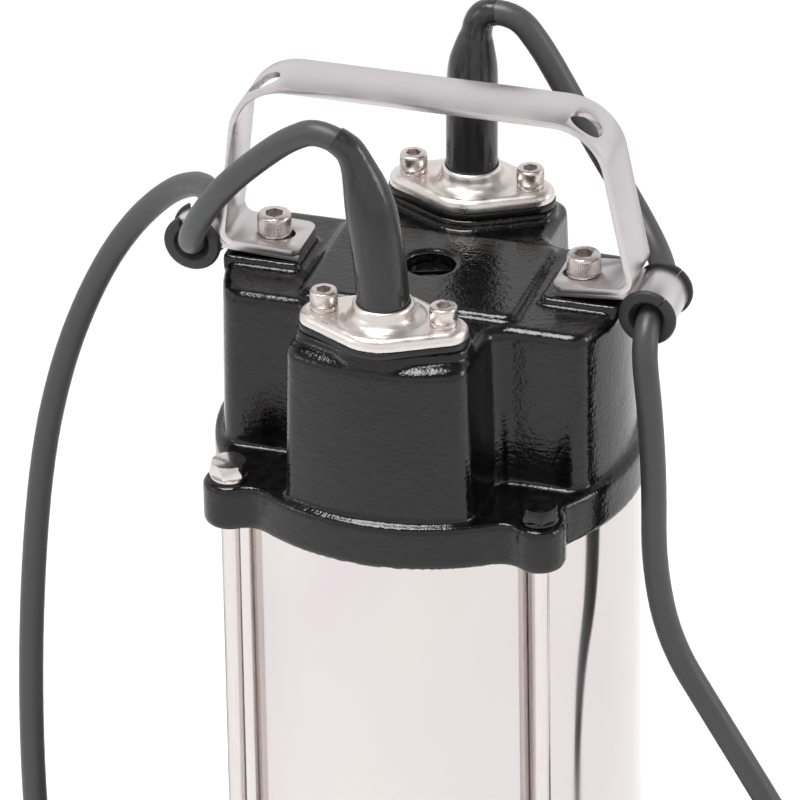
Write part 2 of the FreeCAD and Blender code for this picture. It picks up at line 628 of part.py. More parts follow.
# A rolled strip clip: the ring round the grommet and its two tails under the foot
def cable_clip(foot, side, centre):
    x, z, rear = centre
    half = CLIP_WIDTH / 2.0
    outer = CLIP_RING_RADIUS + CLIP_STRIP
    roll = Part.makeCylinder(outer, half + rear, Vector(x, -half, z), Vector(0.0, 1.0, 0.0))
    inner_end = foot["inner"] + side * 0.3
    near_ring = x - side * (outer - 3.5)
    length = abs(near_ring - inner_end)
    tails = block((0.0, -half, -2.0 * CLIP_STRIP - 0.03), (length, half, -0.03))
    if side < 0.0:
        tails = moved(tails, -length)
    tails.rotate(Vector(0.0, 0.0, 0.0), Vector(0.0, 1.0, 0.0), -side * foot["tilt"])
    tails = moved(tails, inner_end, 0.0, foot_bottom(foot, inner_end))
    if rear < half:
        tails = tails.cut(block((x - 12.0, rear, z - 20.0), (x + 12.0, half + 1.0, z + 20.0)))
    bore = Part.makeCylinder(CLIP_RING_RADIUS, CLIP_WIDTH + 2.0, Vector(x, -half - 1.0, z), Vector(0.0, 1.0, 0.0))
    hole = cylinder(M8_SOCKET[0] + 0.3, z - 20.0, z + 20.0, side * HANDLE_SCREW_REACH)
    return roll.fuse(tails).cut([bore, hole]).removeSplitter()


def grommet(centre, slit):
    slit_angle, slit_width = slit
    mouth_width, mouth_depth = GROMMET_MOUTH
    x, z, rear = centre
    front_groove = -CLIP_WIDTH / 2.0 - 0.15
    rear_groove = rear + 0.15
    front = front_groove - GROMMET_FLANGE
    back = rear_groove + GROMMET_FLANGE
    mouth = CORD_RADIUS + mouth_width
    profile = [(CORD_RADIUS, front + mouth_depth), (mouth, front), (GROMMET_FLANGE_RADIUS - 0.8, front),
               (GROMMET_FLANGE_RADIUS, front + 0.8),
               (GROMMET_FLANGE_RADIUS, front_groove - 0.4), (GROMMET_FLANGE_RADIUS - 0.4, front_groove),
               (GROMMET_GROOVE_RADIUS, front_groove), (GROMMET_GROOVE_RADIUS, rear_groove),
               (GROMMET_FLANGE_RADIUS - 0.4, rear_groove), (GROMMET_FLANGE_RADIUS, rear_groove + 0.4),
               (GROMMET_FLANGE_RADIUS, back - 0.8), (GROMMET_FLANGE_RADIUS - 0.8, back), (mouth, back),
               (CORD_RADIUS, back - mouth_depth)]
    body = turned(profile)
    body.rotate(Vector(0.0, 0.0, 0.0), Vector(1.0, 0.0, 0.0), -90.0)
    gap = block((2.0, -20.0, -slit_width / 2.0), (16.0, 20.0, slit_width / 2.0))
    gap.rotate(Vector(0.0, 0.0, 0.0), Vector(0.0, 1.0, 0.0), -slit_angle)
    return moved(body.cut(gap), x, 0.0, z)


# Cables
def cord_arcs(route):
    points = [Vector(*point) for point in route]
    radii = []
    for before, corner, after in zip(points, points[1:], points[2:]):
        turn = (corner - before).getAngle(after - corner)
        short = min((corner - before).Length, (after - corner).Length)
        radii.append(0.45 * short / math.tan(turn / 2.0))
    return points, radii


# Section of a faceted cable, square to a direction, round the circle of the cable itself
def cord_section(centre, direction, sides):
    side = direction.cross(Vector(0.0, 0.0, 1.0)).normalize()
    above = side.cross(direction).normalize()
    corner = CORD_RADIUS / math.cos(math.pi / sides)
    corners = []
    for step in range(sides):
        angle = 2.0 * math.pi * (step + 0.5) / sides + math.pi / 2.0
        corners.append(centre + side * (corner * math.cos(angle)) + above * (corner * math.sin(angle)))
    return Part.makePolygon(corners + corners[:1])


def cord_tube(name, route):
    points, radii = cord_arcs(route)
    path = Part.Wire(rounded_edges(points, radii))
    start = points[0]
    tube = path.makePipeShell([cord_section(start, points[1] - start, CORD_SIDES)], True, False)
    expected = CORD_SIDES * CORD_RADIUS ** 2 * math.tan(math.pi / CORD_SIDES) * path.Length
    print(name, "length", round(path.Length), "least radius", round(min(radii), 1),
          "radii", [round(radius) for radius in radii], "volume ratio", round(tube.Volume / expected, 4))
    return tube, path.Length


# Rubber sleeve through ring after ring, square to the line of their centres, up to the start of its cable
def cable_sleeve(stations, route):
    places = [Vector(x, y, z) for x, y, z, radius in stations]
    circles = []
    for index, place in enumerate(places):
        before = places[max(index - 1, 0)]
        after = Vector(*route[1]) if index == len(places) - 1 else places[index + 1]
        direction = after - place if index == len(places) - 1 else after - before
        circles.append(Part.Wire(Part.makeCircle(stations[index][3], place, direction)))
    return Part.makeLoft(circles, True, True)


# Flat spirals of half circles, inwards and outwards by turns, each up a layer in the half turn between them
def coil_path():
    half_step = COIL_PITCH / 2.0
    changes = []
    for layer in range(COIL_LAYERS):
        if layer > 0:
            changes.append((0.0, COIL_PITCH))
        inward = -1.0 if layer % 2 == 0 else 1.0
        changes += [(inward * half_step, 0.0)] * (2 * COIL_LOOPS)
    place = Vector(COIL_CENTRE[0], COIL_CENTRE[1] - COIL_RADIUS, CORD_REST)
    radius = COIL_RADIUS
    side = 1.0
    edges = []
    for change, climb in changes:
        end = place + Vector(0.0, side * (2.0 * radius + change), climb)
        bulge = Vector(side * (end - place).Length / 2.0, 0.0, 0.0)
        edges.append(Part.Arc(place, (place + end) * 0.5 + bulge, end).toShape())
        place = end
        radius += change
        side = -side
    return Part.Wire(edges)


def coil_self_gap(path):
    points = []
    for edge in path.OrderedEdges:
        points += edge.discretize(Number=25)[:-1]
    nearest = 1e9
    skip = 12
    for index in range(0, len(points), 2):
        for other in range(index + skip, len(points)):
            nearest = min(nearest, (points[index] - points[other]).Length)
    return nearest - 2.0 * CORD_RADIUS


def mains_coil():
    path = coil_path()
    start = path.OrderedEdges[0].valueAt(path.OrderedEdges[0].FirstParameter)
    coil = path.makePipeShell([cord_section(start, Vector(1.0, 0.0, 0.0), COIL_SIDES)], True, False)
    end = path.OrderedEdges[-1].valueAt(path.OrderedEdges[-1].LastParameter)
    print("coil length", round(path.Length), "least gap", round(coil_self_gap(path), 2),
          "from", tuple(round(v, 1) for v in start), "to", tuple(round(v, 1) for v in end))
    return coil, path.Length


def cords():
    mains, free_length = cord_tube("mains_cord", MAINS_ROUTE)
    add("mains_cord", mains)
    add("cable_sleeve_front", cable_sleeve(FRONT_SLEEVE, MAINS_ROUTE))
    coil, coil_length = mains_coil()
    add("mains_coil", coil)
    tail, tail_length = cord_tube("plug_cord", TAIL_ROUTE)
    add("plug_cord", tail)
    lead, lead_length = cord_tube("float_cord", FLOAT_ROUTE)
    add("float_cord", lead)
    add("cable_sleeve_rear", cable_sleeve(REAR_SLEEVE, FLOAT_ROUTE))
    print("mains cable", round(free_length + coil_length + tail_length), "float cable", round(lead_length))


# Two-pin plug with side earth contacts, lying on the floor
def mains_plug():
    start = Vector(*TAIL_ROUTE[-1])
    before = Vector(*TAIL_ROUTE[-2])
    heading = start - before
    heading.z = 0.0
    grip = turned([(0.0, 0.0), (CORD_RADIUS + 1.6, 0.0), (CORD_RADIUS + 2.6, 14.0), (PLUG_RADIUS * 0.62, 18.0),
                   (PLUG_RADIUS * 0.72, 34.0), (PLUG_RADIUS, 40.0), (PLUG_RADIUS, PLUG_LENGTH + 8.0),
                   (PLUG_RADIUS - 0.8, PLUG_LENGTH + 9.0), (0.0, PLUG_LENGTH + 9.0)])
    face = PLUG_LENGTH + 9.0
    contacts = []
    for side in (-1.0, 1.0):
        slot = block((-3.0, side * PLUG_RADIUS - 3.0, face - 14.0), (3.0, side * PLUG_RADIUS + 3.0, face + 1.0))
        grip = grip.cut(slot)
        low = min(side * (PLUG_RADIUS - 3.0), side * (PLUG_RADIUS - 2.2))
        contacts.append(block((-2.0, low, face - 14.0), (2.0, low + 0.8, face - 1.0)))
    radius, length, apart = PLUG_PIN
    pins = []
    for side in (-1.0, 1.0):
        pin = cylinder(radius, face, face + length, side * apart / 2.0)
        pins.append(pin.makeFillet(1.6, edges_at(pin, face + length)))
    bearing = math.degrees(math.atan2(heading.y, heading.x))
    for name, shape in (("plug_body", grip), ("plug_pins", group(pins)), ("plug_contacts", group(contacts))):
        shape.rotate(Vector(0.0, 0.0, 0.0), Vector(0.0, 1.0, 0.0), 90.0)
        shape.rotate(Vector(0.0, 0.0, 0.0), Vector(0.0, 0.0, 1.0), bearing)
        add(name, moved(shape, start.x, start.y, start.z))


# Float switch: two welded shells round a chamber in which a steel ball rolls onto a switch
def float_switch():
    x, y = FLOAT_CENTRE
    seam = FLOAT_HEIGHT / 2.0
    half_x = FLOAT_WIDTH / 2.0
    half_y = FLOAT_LENGTH / 2.0
    outer = rounded_box(half_x, half_y, 24.0, 0.0, FLOAT_HEIGHT, x, y)
    outer = outer.makeFillet(9.0, edges_at(outer, 0.0) + edges_at(outer, FLOAT_HEIGHT))
    inner = rounded_box(half_x - FLOAT_WALL, half_y - FLOAT_WALL, 24.0 - FLOAT_WALL, FLOAT_WALL,
                        FLOAT_HEIGHT - FLOAT_WALL, x, y)
    inner = inner.makeFillet(9.0 - FLOAT_WALL, edges_at(inner, FLOAT_WALL) + edges_at(inner, FLOAT_HEIGHT - FLOAT_WALL))
    shell = outer.cut(inner)
    floor = seam - BALL_RADIUS - 0.3
    track = block((x - 13.0, y - 20.0, FLOAT_WALL - 0.5), (x + 13.0, y + half_y - 9.0, floor))
    fences = [block((x - 13.0, y - 20.0, floor - 1.0), (x - 10.5, y + half_y - 9.0, seam)),
              block((x + 10.5, y - 20.0, floor - 1.0), (x + 13.0, y + half_y - 9.0, seam))]
    lower = shell.common(block((x - 60.0, y - 70.0, -1.0), (x + 60.0, y + 70.0, seam)))
    lower = lower.fuse([track] + fences).removeSplitter()
    upper = shell.common(block((x - 60.0, y - 70.0, seam), (x + 60.0, y + 70.0, FLOAT_HEIGHT + 1.0)))
    entry = Part.makeCylinder(CORD_RADIUS, 30.0, Vector(x, y - half_y - 1.0, seam), Vector(0.0, 1.0, 0.0))
    lower = lower.cut(entry)
    upper = upper.cut(entry)
    switch = block((x - 7.0, y - 42.0, FLOAT_WALL), (x + 7.0, y - 24.0, seam - 6.0))
    lever = block((x - 3.0, y - 22.5, floor + 2.0), (x + 3.0, y - 21.7, seam + 4.0))
    bridge = block((x - 3.0, y - 24.5, floor + 2.0), (x + 3.0, y - 21.7, floor + 3.5))
    add("float_shell_lower", lower)
    add("float_shell_upper", upper)
    add("float_microswitch", merge([switch, lever, bridge]))
    add("float_ball", Part.makeSphere(BALL_RADIUS, Vector(x, y - 20.0 + BALL_RADIUS, seam)))


# Motor
def motor_housing():
    add("motor_shell", ring(SHELL_RADIUS, SHELL_RADIUS - SHELL_WALL, SHELL_BOTTOM, SHELL_TOP))
    rods = []
    washers = []
    nuts = []
    flats, tall = ROD_HEAD
    seat = RIM_TOP + ROD_WASHER[1]
    lug_bottom = OIL_TOP - 14.0
    for index, (x, y) in enumerate(rod_places()):
        head = hexagon(flats, seat, seat + tall, x, y, 12.0 * index)
        dome = turned([(0.0, seat), (flats * 0.62, seat), (flats * 0.5, seat + tall), (0.0, seat + tall)], x, y)
        rods.append(head.common(dome).fuse(cylinder(ROD_RADIUS, ROD_BOTTOM, seat + 1.0, x, y)).removeSplitter())
        washers.append(ring(ROD_WASHER[0], ROD_RADIUS + 0.2, RIM_TOP, seat, x, y))
        nuts.append(hexagon(flats, lug_bottom - 6.5, lug_bottom, x, y).cut(
            cylinder(ROD_RADIUS, lug_bottom - 7.0, lug_bottom + 1.0, x, y)))
    add("tie_rods", group(rods))
    add("tie_rod_washers", group(washers))
    add("tie_rod_nuts", group(nuts))


def rod_places():
    return [(x, y) for x in (-ROD_REACH, ROD_REACH) for y in (-ROD_REACH, ROD_REACH)]


def stator():
    outer = SHELL_RADIUS - SHELL_WALL
    core = ring(outer, STATOR_BORE, STATOR_BOTTOM, STATOR_TOP)
    slots = []
    bars = []
    for index in range(SLOT_COUNT):
        angle = 360.0 / SLOT_COUNT * index
        mouth = block((STATOR_BORE - 1.0, -1.2, STATOR_BOTTOM - 1.0), (48.0, 1.2, STATOR_TOP + 1.0))
        pocket = block((46.0, -3.2, STATOR_BOTTOM - 1.0), (64.0, 3.2, STATOR_TOP + 1.0))
        bar = block((50.5, -3.0, STATOR_BOTTOM - 2.0), (63.5, 3.0, STATOR_TOP + 2.0))
        slots += [turn_about_z(mouth, angle), turn_about_z(pocket, angle)]
        bars.append(turn_about_z(bar, angle))
    add("stator_core", core.cut(slots))
    ends = []
    for low, high in ((STATOR_BOTTOM - 20.0, STATOR_BOTTOM - 2.0), (STATOR_TOP + 2.0, STATOR_TOP + 24.0)):
        ends.append(turned([(46.0, low + 4.0), (50.0, low), (66.0, low), (71.0, low + 5.0), (71.0, high - 5.0),
                            (66.0, high), (50.0, high), (46.0, high - 4.0)]))
    add("stator_windings", merge(ends + bars))


def bearing(name, size):
    bore = size["bore"]
    outer = size["outer"]
    low = size["bottom"]
    high = size["top"]
    inner_land = bore + (outer - bore) * 0.28
    outer_land = bore + (outer - bore) * 0.72
    shield = inner_land + 0.3
    add(name + "_inner", ring(inner_land, bore, low, high))
    add(name + "_outer", turned([(outer_land, low + 1.2), (shield, low + 1.2), (shield, low + 0.4), (outer_land, low),
                                 (outer, low), (outer, high), (outer_land, high), (shield, high - 0.4),
                                 (shield, high - 1.2), (outer_land, high - 1.2)]))


def rotor():
    add("shaft", turned([(0.0, 49.0), (7.0, 49.0), (8.0, 50.0), (8.0, 118.0), (10.0, 119.0), (10.0, 170.0),
                         (15.0, 171.0), (15.0, 344.0), (8.5, 345.0), (8.5, 361.0), (7.5, 362.0), (0.0, 362.0)]))
    low = STATOR_BOTTOM
    high = STATOR_TOP
    add("rotor_core", turned([(15.0, low - 8.0), (36.0, low - 8.0), (40.0, low), (ROTOR_RADIUS, low),
                              (ROTOR_RADIUS, high), (40.0, high), (36.0, high + 8.0), (15.0, high + 8.0)]))
    bearing("upper_bearing", UPPER_BEARING)
    bearing("lower_bearing", LOWER_BEARING)


def bearing_bracket():
    outer = SHELL_RADIUS - SHELL_WALL
    pocket = UPPER_BEARING["outer"]
    body = turned([(11.0, 358.0), (pocket, 358.0), (pocket, BRACKET_BOTTOM), (pocket + 6.0, BRACKET_BOTTOM),
                   (pocket + 7.0, 356.0), (70.0, 356.0), (73.0, 350.0), (outer, 350.0), (outer, BRACKET_TOP),
                   (73.0, BRACKET_TOP), (70.0, 363.0), (11.0, 363.0)])
    windows = []
    for step in range(4):
        window = rounded_box(9.0, 14.0, 6.0, 350.0, 368.0, 50.0, 0.0)
        windows.append(turn_about_z(window, 45.0 + 90.0 * step))
    return body.cut(windows).removeSplitter()


# Run capacitor and terminal block on the bracket, under the cap
def motor_electrics():
    base = 363.0
    can = cylinder(20.0, base, 424.0)
    can = can.makeChamfer(1.5, edges_at(can, 424.0))
    tabs = [block((x - 3.0, -0.5, 423.0), (x + 3.0, 0.5, 430.0)) for x in (-6.0, 6.0)]
    add("capacitor", merge([can] + tabs))
    terminal = block((-20.0, -52.0, base), (20.0, -36.0, base + 14.0))
    wells = [cylinder(3.0, base + 6.0, base + 15.0, x, -44.0) for x in (-13.5, -4.5, 4.5, 13.5)]
    add("terminal_block", terminal.cut(wells))


# Oil chamber between motor and pump, with the seal plate that closes it from below
SEAL_BOTTOM = 105.0
SEAL_TOP = 146.0


def oil_chamber():
    groove_outer = SHELL_RADIUS + 0.2
    groove_inner = SHELL_RADIUS - SHELL_WALL - 0.2
    pocket = LOWER_BEARING["outer"]
    body = turned([(58.0, OIL_BOTTOM), (84.0, OIL_BOTTOM), (84.0, 120.0), (68.0, 122.0), (67.0, 143.0), (70.0, 146.0),
                   (RIM_RADIUS, 146.0), (RIM_RADIUS, OIL_TOP), (groove_outer, OIL_TOP), (groove_outer, SHELL_BOTTOM),
                   (groove_inner, SHELL_BOTTOM), (groove_inner, 164.0), (74.0, 164.0), (72.0, 156.0), (36.0, 156.0),
                   (34.0, 170.0), (pocket, 170.0), (pocket, LOWER_BEARING["bottom"]), (16.0, LOWER_BEARING["bottom"]),
                   (16.0, SEAL_TOP - 8.0), (21.0, SEAL_TOP - 8.0), (23.0, 146.0), (60.0, 146.0), (60.0, 118.0),
                   (58.0, 118.0)])
    lugs = []
    holes = []
    for x, y in rod_places():
        lugs.append(cylinder(LUG_RADIUS, 146.0, OIL_TOP, x, y))
        holes.append(cylinder(ROD_RADIUS + 0.4, 140.0, OIL_TOP + 8.0, x, y))
    for index in range(6):
        place = polar(CASING_SCREW_REACH, 60.0 * index)
        holes.append(cylinder(4.2, OIL_BOTTOM - 1.0, 124.0, place.x, place.y))
        holes.append(cylinder(7.4, CASING_SCREW_SEAT, 124.0, place.x, place.y))
    filler = Part.makeCylinder(10.5, 10.0, Vector(0.0, -63.0, 132.0), Vector(0.0, -1.0, 0.0))
    thread = Part.makeCylinder(6.0, 20.0, Vector(0.0, -55.0, 132.0), Vector(0.0, -1.0, 0.0))
    body = body.fuse(lugs + [filler]).removeSplitter()
    groove = ring(groove_outer, groove_inner, SHELL_BOTTOM, OIL_TOP + 1.0)
    add("oil_chamber", body.cut(holes + [thread, groove]))
    plug = Part.makeCylinder(6.0, 13.0, Vector(0.0, -60.5, 132.0), Vector(0.0, -1.0, 0.0))
    head = hexagon(17.0, 0.0, 6.0, 0.0, 0.0)
    head.rotate(Vector(0.0, 0.0, 0.0), Vector(1.0, 0.0, 0.0), 90.0)
    add("oil_plug", plug.fuse(moved(head, 0.0, -73.0, 132.0)).removeSplitter())


def shaft_seals():
    add("seal_plate", turned([(16.0, 104.0), (CASING_OPENING - 0.2, 104.0), (CASING_OPENING - 0.2, OIL_BOTTOM),
                              (58.0, OIL_BOTTOM), (58.0, 118.0), (54.0, 118.0), (54.0, 113.0), (24.0, 113.0),
                              (22.0, 118.0), (16.0, 118.0)]))
    seats = [ring(16.0, 9.5, SEAL_BOTTOM, SEAL_BOTTOM + 8.0), ring(16.0, 11.5, SEAL_TOP - 8.0, SEAL_TOP)]
    add("seal_seats", group(seats))
    gap = 0.05
    lower = turned([(8.0, 92.0), (12.0, 92.0), (12.0, 98.0), (14.5, 99.0), (14.5, 102.0), (12.5, 103.0),
                    (12.5, SEAL_BOTTOM - gap), (9.0, SEAL_BOTTOM - gap), (9.0, 103.0), (8.0, 103.0)])
    top = SEAL_TOP - 8.0 - gap
    upper = turned([(10.0, 121.0), (14.0, 121.0), (14.0, 131.0), (15.5, 132.0), (15.5, 135.0), (13.5, 136.0),
                    (13.5, top), (11.0, top), (11.0, 136.0), (10.0, 136.0)])
    add("seal_rotating_rings", group([lower, upper]))


# Impeller: back disc and hub with curved vanes below, and a flat on the shaft key
def vane_outline(height):
    outer = VANE_RADIUS + VANE_THICKNESS / 2.0
    inner = VANE_RADIUS - VANE_THICKNESS / 2.0
    start, end = VANE_ANGLES
    edges = [arc_edge(VANE_CENTRE, outer, start, end, height),
             Part.LineSegment(polar(outer, end, height, VANE_CENTRE), polar(inner, end, height, VANE_CENTRE)).toShape(),
             arc_edge(VANE_CENTRE, inner, end, start, height),
             Part.LineSegment(polar(inner, start, height, VANE_CENTRE), polar(outer, start, height, VANE_CENTRE)).toShape()]
    return Part.Wire(edges)


def impeller():
    disc_bottom = 76.0
    hub = turned([(8.0, 60.0), (14.0, 60.0), (16.0, 66.0), (19.0, disc_bottom), (IMPELLER_RADIUS, disc_bottom),
                  (IMPELLER_RADIUS, 81.0), (22.0, 84.0), (15.0, 92.0), (8.0, 92.0)])
    vane = prism(vane_outline(IMPELLER_BOTTOM), disc_bottom - IMPELLER_BOTTOM + 0.5)
    vane = vane.common(cylinder(IMPELLER_RADIUS, IMPELLER_BOTTOM - 1.0, disc_bottom + 2.0))
    vanes = [turn_about_z(vane, 360.0 / IMPELLER_VANES * step) for step in range(IMPELLER_VANES)]
    eye = cylinder(14.0, IMPELLER_BOTTOM - 1.0, 60.0)
    keyway = block((6.0, -2.5, 60.0), (10.8, 2.5, 92.0))
    body = merge([hub] + vanes).cut([eye, cylinder(8.0, 50.0, 93.0), keyway])
    add("impeller", body)
    add("impeller_key", block((8.0, -2.5, 64.0), (10.8, 2.5, 88.0)).cut(cylinder(8.0, 60.0, 92.0)))
    nut = hexagon(22.0, 50.6, 60.0, 0.0, 0.0)
    nut = nut.common(turned([(0.0, 50.6), (10.5, 50.6), (13.0, 53.5), (13.0, 60.0), (0.0, 60.0)]))
    add("impeller_nut", nut.cut(cylinder(8.0, 50.0, 61.0)))


# Plan view of the spiral, from the tongue round to the outlet, and closed by the outlet's mouth
def spiral_outline(grow, height, mouth):
    (tongue, quarter_one, quarter_two, quarter_three) = SPIRAL_ARCS
    inner_x = OUTLET_X + OUTLET_RADIUS + grow
    radius = tongue[1] + grow
    end_angle = math.degrees(math.acos((inner_x - tongue[0][0]) / radius))
    start = polar(radius, end_angle, height, tongue[0])
    edges = [arc_edge(tongue[0], radius, end_angle, 90.0, height),
             arc_edge(quarter_one[0], quarter_one[1] + grow, 90.0, 0.0, height),
             arc_edge(quarter_two[0], quarter_two[1] + grow, 0.0, -90.0, height),
             arc_edge(quarter_three[0], quarter_three[1] + grow, -90.0, -180.0, height)]
    outer = polar(quarter_three[1] + grow, 180.0, height, quarter_three[0])
    edges.append(Part.LineSegment(outer, Vector(outer.x, mouth, height)).toShape())
    edges.append(Part.LineSegment(Vector(outer.x, mouth, height), Vector(start.x, mouth, height)).toShape())
    edges.append(Part.LineSegment(Vector(start.x, mouth, height), start).toShape())
    return Part.Wire(edges)


# The outlet changes from a rounded square at the spiral to a round pipe
def outlet_throat(half, corner, start, end):
    corners = [(-half, -half), (half, -half), (half, half), (-half, half)]
    square = rounded_outline(corners, corner)
    square.rotate(Vector(0.0, 0.0, 0.0), Vector(1.0, 0.0, 0.0), 90.0)
    square.translate(Vector(OUTLET_X, start, OUTLET_Z))
    segments = []
    for step in range(8):
        first = 45.0 * step - 112.5
        arc = arc_edge((0.0, 0.0), half, first, first + 45.0, 0.0)
        segments.append(arc)
    circle = Part.Wire(segments)
    circle.rotate(Vector(0.0, 0.0, 0.0), Vector(1.0, 0.0, 0.0), 90.0)
    circle.translate(Vector(OUTLET_X, end, OUTLET_Z))
    return Part.makeLoft([square, circle], True, True)


def outlet_pipe(radius, start, end):
    return Part.makeCylinder(radius, end - start, Vector(OUTLET_X, start, OUTLET_Z), Vector(0.0, 1.0, 0.0))


# Oval two-bolt flange, upright, between two Y positions
BOLT_REACH = 44.0
BOLT_CLEARANCE = 4.4


def oval_flange(start, end, hole, bolt_hole):
    circles = [(BOLT_REACH, 0.0, 10.0), (0.0, 0.0, 36.0), (-BOLT_REACH, 0.0, 10.0), (0.0, -0.001, 36.0)]
    plate = prism(belt_outline(circles), end - start)
    cuts = [cylinder(hole, -1.0, end - start + 1.0)]
    for side in (-1.0, 1.0):
        cuts.append(cylinder(bolt_hole, -1.0, end - start + 1.0, side * BOLT_REACH))
    plate = plate.cut(cuts)
    plate.rotate(Vector(0.0, 0.0, 0.0), Vector(1.0, 0.0, 0.0), -90.0)
    return moved(plate, OUTLET_X, start, OUTLET_Z)


def volute_casing():
    mouth = 52.0
    throat_end = 96.0
    height = CASING_TOP - CASING_BOTTOM
    body = prism(spiral_outline(CASING_WALL, CASING_BOTTOM, mouth), height)
    body = body.makeFillet(6.0, edges_at(body, CASING_BOTTOM))
    half = OUTLET_RADIUS + CASING_WALL
    parts = [outlet_throat(half, 14.0, mouth - 10.0, throat_end), outlet_pipe(half, throat_end - 0.5, OUTLET_FACE - 7.0),
             oval_flange(OUTLET_FACE - 8.0, OUTLET_FACE, 10.0, M8_SOCKET[0]),
             cylinder(84.0, CASING_TOP - 10.0, CASING_TOP)]
    boss = LEG_RADIUS + 1.5
    for x, y in leg_places():
        parts.append(turned([(0.0, CASING_BOTTOM), (boss, CASING_BOTTOM), (boss, 78.0), (0.0, 90.0)], x, y))
    body = body.fuse(parts)
    chamber_bottom = CASING_BOTTOM + CASING_WALL
    chamber_top = chamber_bottom + 2.0 * OUTLET_RADIUS
    waterway = prism(spiral_outline(0.0, chamber_bottom, mouth), chamber_top - chamber_bottom)
    waterway = waterway.fuse(outlet_throat(OUTLET_RADIUS, 8.0, mouth - 1.0, throat_end))
    waterway = waterway.fuse(outlet_pipe(OUTLET_RADIUS, throat_end - 0.5, OUTLET_FACE + 1.0))
    waterway = waterway.fuse(cylinder(CASING_OPENING, chamber_top - 1.0, CASING_TOP + 1.0))
    waterway = waterway.fuse(cylinder(SUCTION_OPENING, CASING_BOTTOM - 1.0, chamber_bottom + 1.0))
    body = body.cut(waterway)
    cuts = []
    for index in range(6):
        place = polar(CASING_SCREW_REACH, 60.0 * index)
        cuts.append(cylinder(M8_SOCKET[0], CASING_TOP - 8.0, CASING_TOP + 1.0, place.x, place.y))
    for index in range(4):
        place = polar(58.0, 90.0 * index)
        cuts.append(cylinder(M6_SOCKET[0], CASING_BOTTOM - 1.0, CASING_BOTTOM + 7.0, place.x, place.y))
    stud, reach = LEG_STUD
    for x, y in leg_places():
        cuts.append(cylinder(stud, CASING_BOTTOM - 1.0, CASING_BOTTOM + reach, x, y))
    return body.cut(cuts)


def leg_places():
    return [(x, y) for x in (-LEG_REACH, LEG_REACH) for y in (-LEG_REACH, LEG_REACH)]


# Four cast feet, each screwed into the casing's floor by its own stud
def pump_feet():
    feet = []
    stud, reach = LEG_STUD
    for x, y in leg_places():
        feet.append(turned([(0.0, 0.0), (FOOT_RADIUS - 1.0, 0.0), (FOOT_RADIUS, 1.0), (FOOT_RADIUS, 6.0),
                            (LEG_RADIUS, 12.0), (LEG_RADIUS, CASING_BOTTOM), (stud, CASING_BOTTOM),
                            (stud, CASING_BOTTOM + reach), (0.0, CASING_BOTTOM + reach)], x, y))
    return group(feet)


def suction_plate():
    bottom = CASING_BOTTOM - 8.0
    top = CASING_BOTTOM + CASING_WALL
    body = turned([(INLET_RADIUS + 6.0, bottom - 4.0), (INLET_RADIUS + 9.0, bottom - 4.0), (INLET_RADIUS + 11.0, bottom),
                   (66.0, bottom), (66.0, CASING_BOTTOM), (SUCTION_OPENING, CASING_BOTTOM), (SUCTION_OPENING, top),
                   (INLET_RADIUS, top), (INLET_RADIUS, bottom + 2.0)])
    holes = []
    for index in range(4):
        place = polar(58.0, 90.0 * index)
        holes.append(cylinder(3.3, bottom - 1.0, CASING_BOTTOM + 1.0, place.x, place.y))
        holes.append(cylinder(5.4, bottom - 1.0, bottom + 3.5, place.x, place.y))
    return body.cut(holes)


def pump_screws():
    upper = []
    for index in range(6):
        place = polar(CASING_SCREW_REACH, 60.0 * index)
        upper.append(socket_screw(M8_SOCKET, CASING_SCREW_SEAT, 16.0, place.x, place.y))
    add("casing_screws", group(upper))
    lower = []
    for index in range(4):
        place = polar(58.0, 90.0 * index)
        screw = socket_screw(M6_SOCKET, 0.0, 11.0, 0.0, 0.0)
        screw.rotate(Vector(0.0, 0.0, 0.0), Vector(1.0, 0.0, 0.0), 180.0)
        lower.append(moved(screw, place.x, place.y, CASING_BOTTOM - 4.5))
    add("suction_screws", group(lower))


# Discharge elbow: flange, quarter bend and a threaded collar
GASKET = 2.0


def elbow_bend(radius):
    start = OUTLET_FACE + GASKET + 7.0
    edges = [Part.LineSegment(Vector(OUTLET_X, start - 6.0, OUTLET_Z), Vector(OUTLET_X, start, OUTLET_Z)).toShape()]
    centre = Vector(OUTLET_X, start, OUTLET_Z + ELBOW_BEND)
    lean = ELBOW_BEND * math.sqrt(0.5)
    middle = centre + Vector(0.0, lean, -lean)
    end = centre + Vector(0.0, ELBOW_BEND, 0.0)
    edges.append(Part.Arc(Vector(OUTLET_X, start, OUTLET_Z), middle, end).toShape())
    top = Vector(end.x, end.y, ELBOW_TOP - ELBOW_THREAD_LENGTH)
    edges.append(Part.LineSegment(end, top).toShape())
    path = Part.Wire(edges)
    profile = Part.Wire(Part.makeCircle(radius, Vector(OUTLET_X, start - 6.0, OUTLET_Z), Vector(0.0, 1.0, 0.0)))
    return path.makePipeShell([profile], True, False), top


